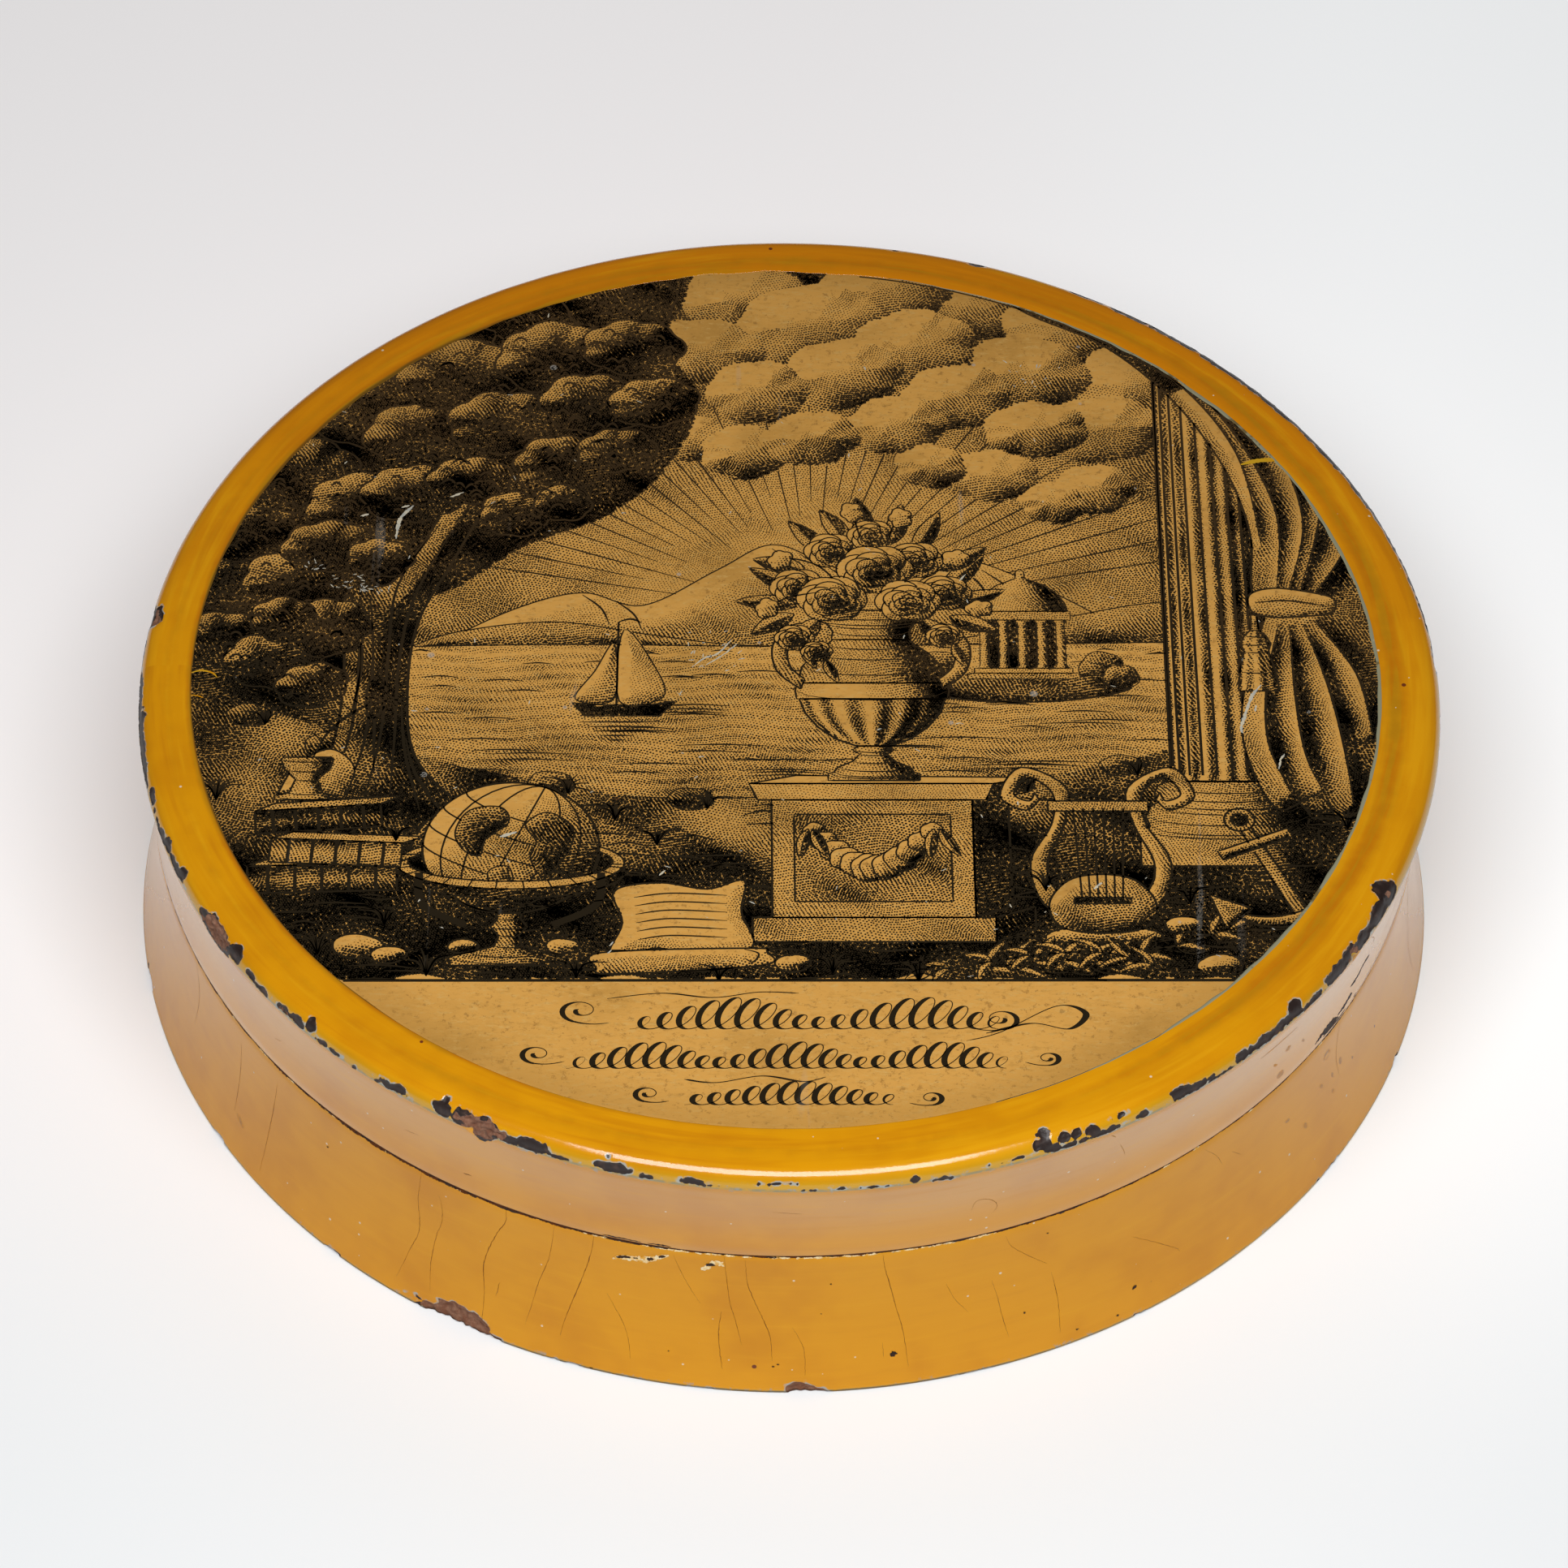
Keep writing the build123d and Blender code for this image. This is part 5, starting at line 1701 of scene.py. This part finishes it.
def branch(points, pairs, length, width):
    """A sprig: leaves in pairs along a bent stem, and one at its tip."""
    stem = through(points, 12)
    stroke(stem, 0.3, 0.7)
    for share in np.linspace(0.08, 0.95, pairs):
        index = int(share * (len(stem) - 2))
        x, y = stem[index]
        ahead = math.atan2(*(stem[index + 1] - stem[index])[::-1])
        for side in (-1, 1):
            leaf(x, y, ahead + side * art_chance.uniform(0.45, 0.75), length * (1.1 - 0.4 * share), width)
    leaf(*stem[-1], math.atan2(*(stem[-1] - stem[-2])[::-1]), length * 0.8, width)


branch([(13.0, -28.8), (18.0, -28.0), (24.0, -27.6), (31.0, -25.0)], 9, 3.0, 0.62)
branch([(26.0, -28.6), (22.0, -27.2), (16.5, -27.6), (10.0, -29.0)], 7, 2.6, 0.55)

anchor = np.array([34.8, -20.2])
anchor_lean = math.radians(24)
shank = [(-0.55, -4.4), (0.55, -4.4), (0.4, 5.2), (-0.4, 5.2)]
crossbar = [(-2.8, 3.2), (2.8, 3.2), (2.8, 4.1), (-2.8, 4.1)]
low_half = np.linspace(math.pi * 1.08, math.pi * 1.92, 19)
arms = np.vstack([bow(low_half, 4.8, 4.4, -0.2), bow(low_half, 4.6, 3.2, -0.2)[::-1]])
left_fluke = [(-5.6, -2.8), (-5.2, 0.6), (-3.0, -1.8)]
right_fluke = [(5.6, -2.8), (5.2, 0.6), (3.0, -1.8)]
for part in (shank, crossbar, arms, left_fluke, right_fluke):
    shape(anchor + leaning(np.array(part, float), anchor_lean), rounded(0.45, 0.6, 0.5), 0.15)
shape(anchor + leaning(ring[::3] * 1.1 + [0, 6.2], anchor_lean), flat(0.45), 0.15)
shape(anchor + leaning(ring[::3] * 0.6 + [0, 6.2], anchor_lean), flat(1.0), 0.12)

for x, y, height in (
    (-41.0, -12.6, 2.6), (-28.6, -24.6, 2.2), (-25.5, -29.4, 2.8), (-15.0, -29.6, 2.4), (3.0, -29.2, 2.2),
    (18.2, -21.4, 2.4), (28.4, -22.6, 2.2), (40.0, -15.5, 2.4), (-33.2, -27.4, 2.6), (-9.4, -17.0, 2.2),
    (-5.0, -29.9, 2.0), (9.0, -29.9, 2.4), (-28.0, -16.6, 2.0), (-12.4, -14.6, 2.0),
):
    tuft(x, y, height, 9)
for x, y, size in (
    (-30.4, -26.6, 1.7), (-28.2, -27.4, 1.2), (-23.0, -26.6, 1.0), (30.2, -28.4, 1.5), (27.8, -24.6, 1.2),
    (-16.0, -26.6, 1.1), (0.2, -28.2, 1.2),
):
    puff(x, y, size, 3, rounded(0.42, 0.6, size), 0.14, 0.65, 0.08)

art_turn = math.radians(1.0)


def covered(x, y, depth):
    """Whether a shape after the first depth of them lies over a point, or it is off the picture."""
    hidden = (np.hypot(x, y) > print_radius) | (y < chord_height)
    for loop, _ in layers[depth:]:
        low, high = loop.min(0), loop.max(0)
        near = ~hidden & (x > low[0]) & (x < high[0]) & (y > low[1]) & (y < high[1])
        if near.any():
            hidden[near] = within(x[near], y[near], loop)
    return hidden


def tone_at(x, y):
    """The picture's darkness at each point: the sky's, or that of the last shape over it."""
    dark = sky(x, y)
    for loop, tone in layers:
        low, high = loop.min(0), loop.max(0)
        near = np.flatnonzero((x > low[0]) & (x < high[0]) & (y > low[1]) & (y < high[1]))
        near = near[within(x[near], y[near], loop)]
        if len(near):
            dark[near] = tone(x[near], y[near], loop)
    return dark


dot_pitch = 0.225
rows = np.arange(chord_height + 0.1, print_radius, dot_pitch * 0.866)
columns = np.arange(-print_radius, print_radius, dot_pitch)
grid_x, grid_y = np.meshgrid(columns, rows)
grid_x = grid_x + (np.arange(len(rows)) % 2)[:, None] * dot_pitch / 2
drift = 0.35 * np.sin(grid_x * 0.9 + 1.7 * np.sin(grid_y * 0.31))
drift += 0.25 * np.sin(grid_x * 0.37 - grid_y * 0.8)
sway = 0.3 * np.sin(grid_y * 1.1 + 0.5 * grid_x)
dot_x = (grid_x + sway + art_chance.normal(0, 0.1 * dot_pitch, grid_x.shape)).ravel()
dot_y = (grid_y + drift + art_chance.normal(0, 0.1 * dot_pitch, grid_x.shape)).ravel()
on_print = (np.hypot(dot_x, dot_y) < print_radius - 0.05) & (dot_y > chord_height + 0.15)
dot_x, dot_y = dot_x[on_print], dot_y[on_print]
dot_tone = np.clip(1.4 * tone_at(dot_x, dot_y) - 0.14, 0.0, 1.02) * art_chance.uniform(0.9, 1.1, dot_x.shape)
dot_size = dot_pitch * (0.577 * np.sqrt(dot_tone) + 0.3 * np.clip(dot_tone - 0.6, 0, 0.6))


ink, shader, place = new_finish("printing_ink")
faded = times(axes(place)["Y"], 9.0, cloud(place, 110.0, 4.0))
varnished(shader, blend_colour(ramp(faded, 0.4, 0.95), ink_black, ink_brown))


def ink_piece(name, spots, height, corners):
    """Lays flat inked shapes, given corner after corner with the same number of corners each, on the paper,
    and a little askew with it, as it was pasted."""
    points = np.column_stack([leaning(spots, art_turn), np.full(len(spots), height)])
    faces = np.arange(len(spots)).reshape(-1, corners)
    made = mesh_piece(name, points, faces, smooth=False)
    plan_map(made, points, faces.ravel())
    made.data.materials.append(ink)
    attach(made, "lid")
    return made


def dot_corners(x, y, size):
    """Six corners round each dot, each dot turned by chance."""
    turn = art_chance.uniform(0, math.pi / 3, len(x))[:, None] + np.arange(6) * math.pi / 3
    out_x, out_y = size[:, None] * np.cos(turn), size[:, None] * np.sin(turn)
    return np.stack([x[:, None] + out_x, y[:, None] + out_y], -1).reshape(-1, 2)


def line_corners(cuts, hide=True):
    """The four corners of each piece of each cut line, without those that a later shape hides."""
    kept = []
    for depth, line, width in cuts:
        middle = (line[1:] + line[:-1]) / 2
        if hide:
            shown = ~covered(*middle.T, depth)
        else:
            shown = np.hypot(*middle.T) < print_radius - 0.05
        kept.append(ribbon(line, width)[shown])
    return np.concatenate(kept).reshape(-1, 2)


ink_height = print_top + 0.01
smallest_dot = 0.035
large_enough = dot_size > smallest_dot
for name, low, high in (
    ("dots_of_ground", -50.0, -9.0), ("dots_of_water", -9.0, 12.0), ("dots_of_sky", 12.0, 50.0),
):
    chosen = large_enough & (dot_y >= low) & (dot_y < high)
    ink_piece(name, dot_corners(dot_x[chosen], dot_y[chosen], dot_size[chosen]), ink_height, 6)
border_radius = 42.75
border_width = 0.15
foot_line_reach = 31.3
foot_line_width = 0.26
border = bow(np.radians(np.linspace(34, 82, 90)), border_radius, border_radius)
strokes.append((len(layers), border, np.full(len(border), border_width)))
foot_line = finer([(-foot_line_reach, chord_height), (foot_line_reach, chord_height)])
foot_cut = [(len(layers), foot_line, np.full(len(foot_line), foot_line_width))]
cut_spots = np.concatenate([line_corners(strokes), line_corners(foot_cut, hide=False)])
ink_piece("cut_lines", cut_spots, ink_height + 0.004, 4)


# Flourishes below the picture: rows of running loops between scrolls, engraved as a pointed pen writes,
# where each stroke swells on the way down and is a hairline on the way up.

pen_slant = 0.5
pen_strokes = []


def pen(line, thick=0.44, thin=0.075):
    """A pen stroke along a line. Its width grows with the downward share of its direction, and its ends
    taper."""
    line = np.asarray(line, float)
    run = np.gradient(line, axis=0)
    down = np.clip(-run[:, 1] / np.maximum(np.hypot(*run.T), 1e-9), 0, 1) ** 1.2
    along = np.linspace(0, 1, len(line))
    width = (thin + (thick - thin) * down) * np.clip(np.minimum(along, 1 - along) / 0.05, 0.4, 1)
    pen_strokes.append((0, line, width))


def loops(start, foot, count, pitch, low, high, waves):
    """Running coils: x goes on evenly and sways by a sine, y rises and falls by a cosine. Their height
    swells from low to high and back again waves times, and the whole leans with the pen's slant."""
    t = np.linspace(0, 2 * math.pi * count, 30 * count + 1)
    height = low + (high - low) * np.sin(math.pi * waves * t / t[-1]) ** 2
    rise = height * (1 - np.cos(t)) / 2
    x = start + pitch * t / (2 * math.pi) + (0.42 + 0.17 * height) * np.sin(t) + pen_slant * rise
    return np.stack([x, foot + rise], -1)


def scroll(x, y, size, lean, hand):
    """A scroll: a spiral from its eye outwards, whose far end runs off as a long swash. hand is 1 or -1."""
    t = np.linspace(0, 1, 40)
    turn = lean + hand * 8.2 * t
    out = 0.16 + 0.84 * t
    spiral = np.stack([x + size * out * np.cos(turn), y + 0.72 * size * out * np.sin(turn)], -1)
    away = np.array([-math.sin(turn[-1]), 0.72 * math.cos(turn[-1])]) * hand
    swash = spiral[-1] + size * np.array([[0.5], [1.1], [1.8]]) * away
    swash += size * np.array([(0, 0.02), (0, 0.14), (0, 0.4)])
    return np.vstack([spiral, through(np.vstack([spiral[-1:], swash]), 8)[1:]])


for foot, start, count, pitch, low, high, waves in (
    (-34.3, -11.2, 19, 1.35, 1.1, 2.9, 2), (-37.9, -15.6, 25, 1.22, 1.0, 2.4, 3),
    (-41.2, -7.4, 12, 1.2, 0.9, 2.1, 1),
):
    pen(loops(start, foot, count, pitch, low, high, waves))
for x, y, size, lean, hand in (
    (-14.6, -32.6, 1.5, 2.4, 1), (14.6, -33.4, 1.35, 0.6, -1), (-17.6, -36.6, 1.2, 2.6, 1),
    (17.8, -37.0, 0.9, 0.4, -1), (-9.9, -40.2, 1.0, 2.5, 1), (9.6, -40.6, 0.9, 0.5, -1),
):
    pen(scroll(x, y, size, lean, hand), 0.4)
for points in (
    [(-12.8, -31.5), (-9.0, -31.0), (-5.4, -31.4), (-2.2, -30.9), (0.6, -31.0)],
    [(12.2, -35.4), (14.6, -34.6), (18.6, -32.2), (20.6, -32.9), (19.4, -34.3), (16.8, -33.8), (13.6, -34.7)],
    [(-7.4, -38.9), (-5.2, -39.2), (-2.0, -38.6), (0.8, -39.1), (2.4, -38.7)],
):
    pen(through(points, 12), 0.5, 0.08)
ink_piece("pen_flourishes", line_corners(pen_strokes, hide=False), ink_height, 4)


# Scuffs on the print: slivers laid where the varnish is knocked white or its crust stands up pale.
# They are thin as a hair, and most of them are strewn by chance.

scuff_white = (0.62, 0.55, 0.4)
scuff_grey = (0.42, 0.42, 0.38)
scuff_finish, shader, place = new_finish("scuffed_varnish")
colour = blend_colour(ramp(cloud(place, 1800.0, 4.0, 0.7), 0.42, 0.6), scuff_white, scuff_grey)
coat(shader, colour, ramp(cloud(place, 900.0, 3.0), 0.3, 0.7, 0.4, 0.7))
scuffs = [
    (((33.0, -6.0), (32.9, -5.5), (33.3, -4.0), (33.9, -2.2), (34.6, -1.2)), 0.26),
    (((34.0, -3.9), (34.1, -3.2)), 0.16),
    (((-28.9, 13.8), (-28.8, 15.0), (-28.6, 16.0), (-28.0, 16.9), (-27.7, 17.3)), 0.3),
    (((-28.6, 17.1), (-28.0, 17.3)), 0.2), (((-31.6, 16.2), (-31.0, 16.4)), 0.18),
    (((-25.0, 18.2), (-24.0, 18.7)), 0.18), (((-20.6, -16.2), (-19.4, -15.7)), 0.3),
    (((-9.2, -19.9), (-8.8, -19.4)), 0.16), (((21.6, -21.2), (22.2, -20.6)), 0.2),
    (((12.8, 9.4), (13.3, 10.1)), 0.14), (((35.4, -9.6), (35.6, -8.6), (35.9, -8.1)), 0.16),
    (((-6.9, 0.6), (-6.0, 1.5), (-5.0, 2.0), (-4.0, 3.4)), 0.15),
    (((-5.9, 0.8), (-4.6, 1.9), (-3.6, 3.0)), 0.12),
]
for low, high, count in (
    ((-33.5, 8.5), (-31.0, 10.3), 16), ((-31.5, 7.8), (-29.0, 9.5), 14), ((-35.5, 10.3), (-34.0, 11.3), 9),
    ((-7.6, 0.2), (-3.2, 4.2), 18), ((17.0, 30.0), (21.0, 33.2), 14), ((-40.0, -30.0), (40.0, 38.0), 90),
):
    for x, y in art_chance.uniform(low, high, (count, 2)):
        turn, length = art_chance.uniform(0, math.pi), art_chance.uniform(0.15, 0.5)
        tip = (x + length * math.cos(turn), y + length * math.sin(turn))
        scuffs.append((((x, y), tip), art_chance.uniform(0.05, 0.11)))
scuff_strokes = []
for points, width in scuffs:
    line = through(points, 8) + art_chance.normal(0, 0.015, (8 * len(points) - 7, 2))
    widths = width * tapered(len(line), 0.3) * art_chance.uniform(0.6, 1.3, len(line))
    scuff_strokes.append((0, line, widths))
scuff_piece = ink_piece("scuffs", line_corners(scuff_strokes, hide=False), ink_height + 0.008, 4)
scuff_piece.data.materials[0] = scuff_finish


# Drips of ochre lacquer on the print, beside the inner edge of the frame.
# They ran from the brush when the frame was painted.

drip_strokes = []
for points, width in (
    (((34.3, 21.7), (35.0, 21.95), (35.8, 22.15), (36.8, 22.2), (37.9, 22.1)), 0.4),
    (((-43.5, 0.0), (-42.65, 0.25), (-41.85, 0.0), (-41.5, -0.45)), 0.15),
    (((-43.4, -2.2), (-42.8, -2.3), (-42.4, -2.5)), 0.1),
):
    line = through(points, 8)
    widths = width * tapered(len(line), 0.3) * art_chance.uniform(0.85, 1.15, len(line))
    drip_strokes.append((0, line, widths))
drip_piece = ink_piece("lacquer_drips", line_corners(drip_strokes, hide=False), ink_height + 0.012, 4)
drip_piece.data.materials[0] = mottled("dripped_lacquer", ochre_deep, ochre_lemon, 500.0, 0.25, 0.4)
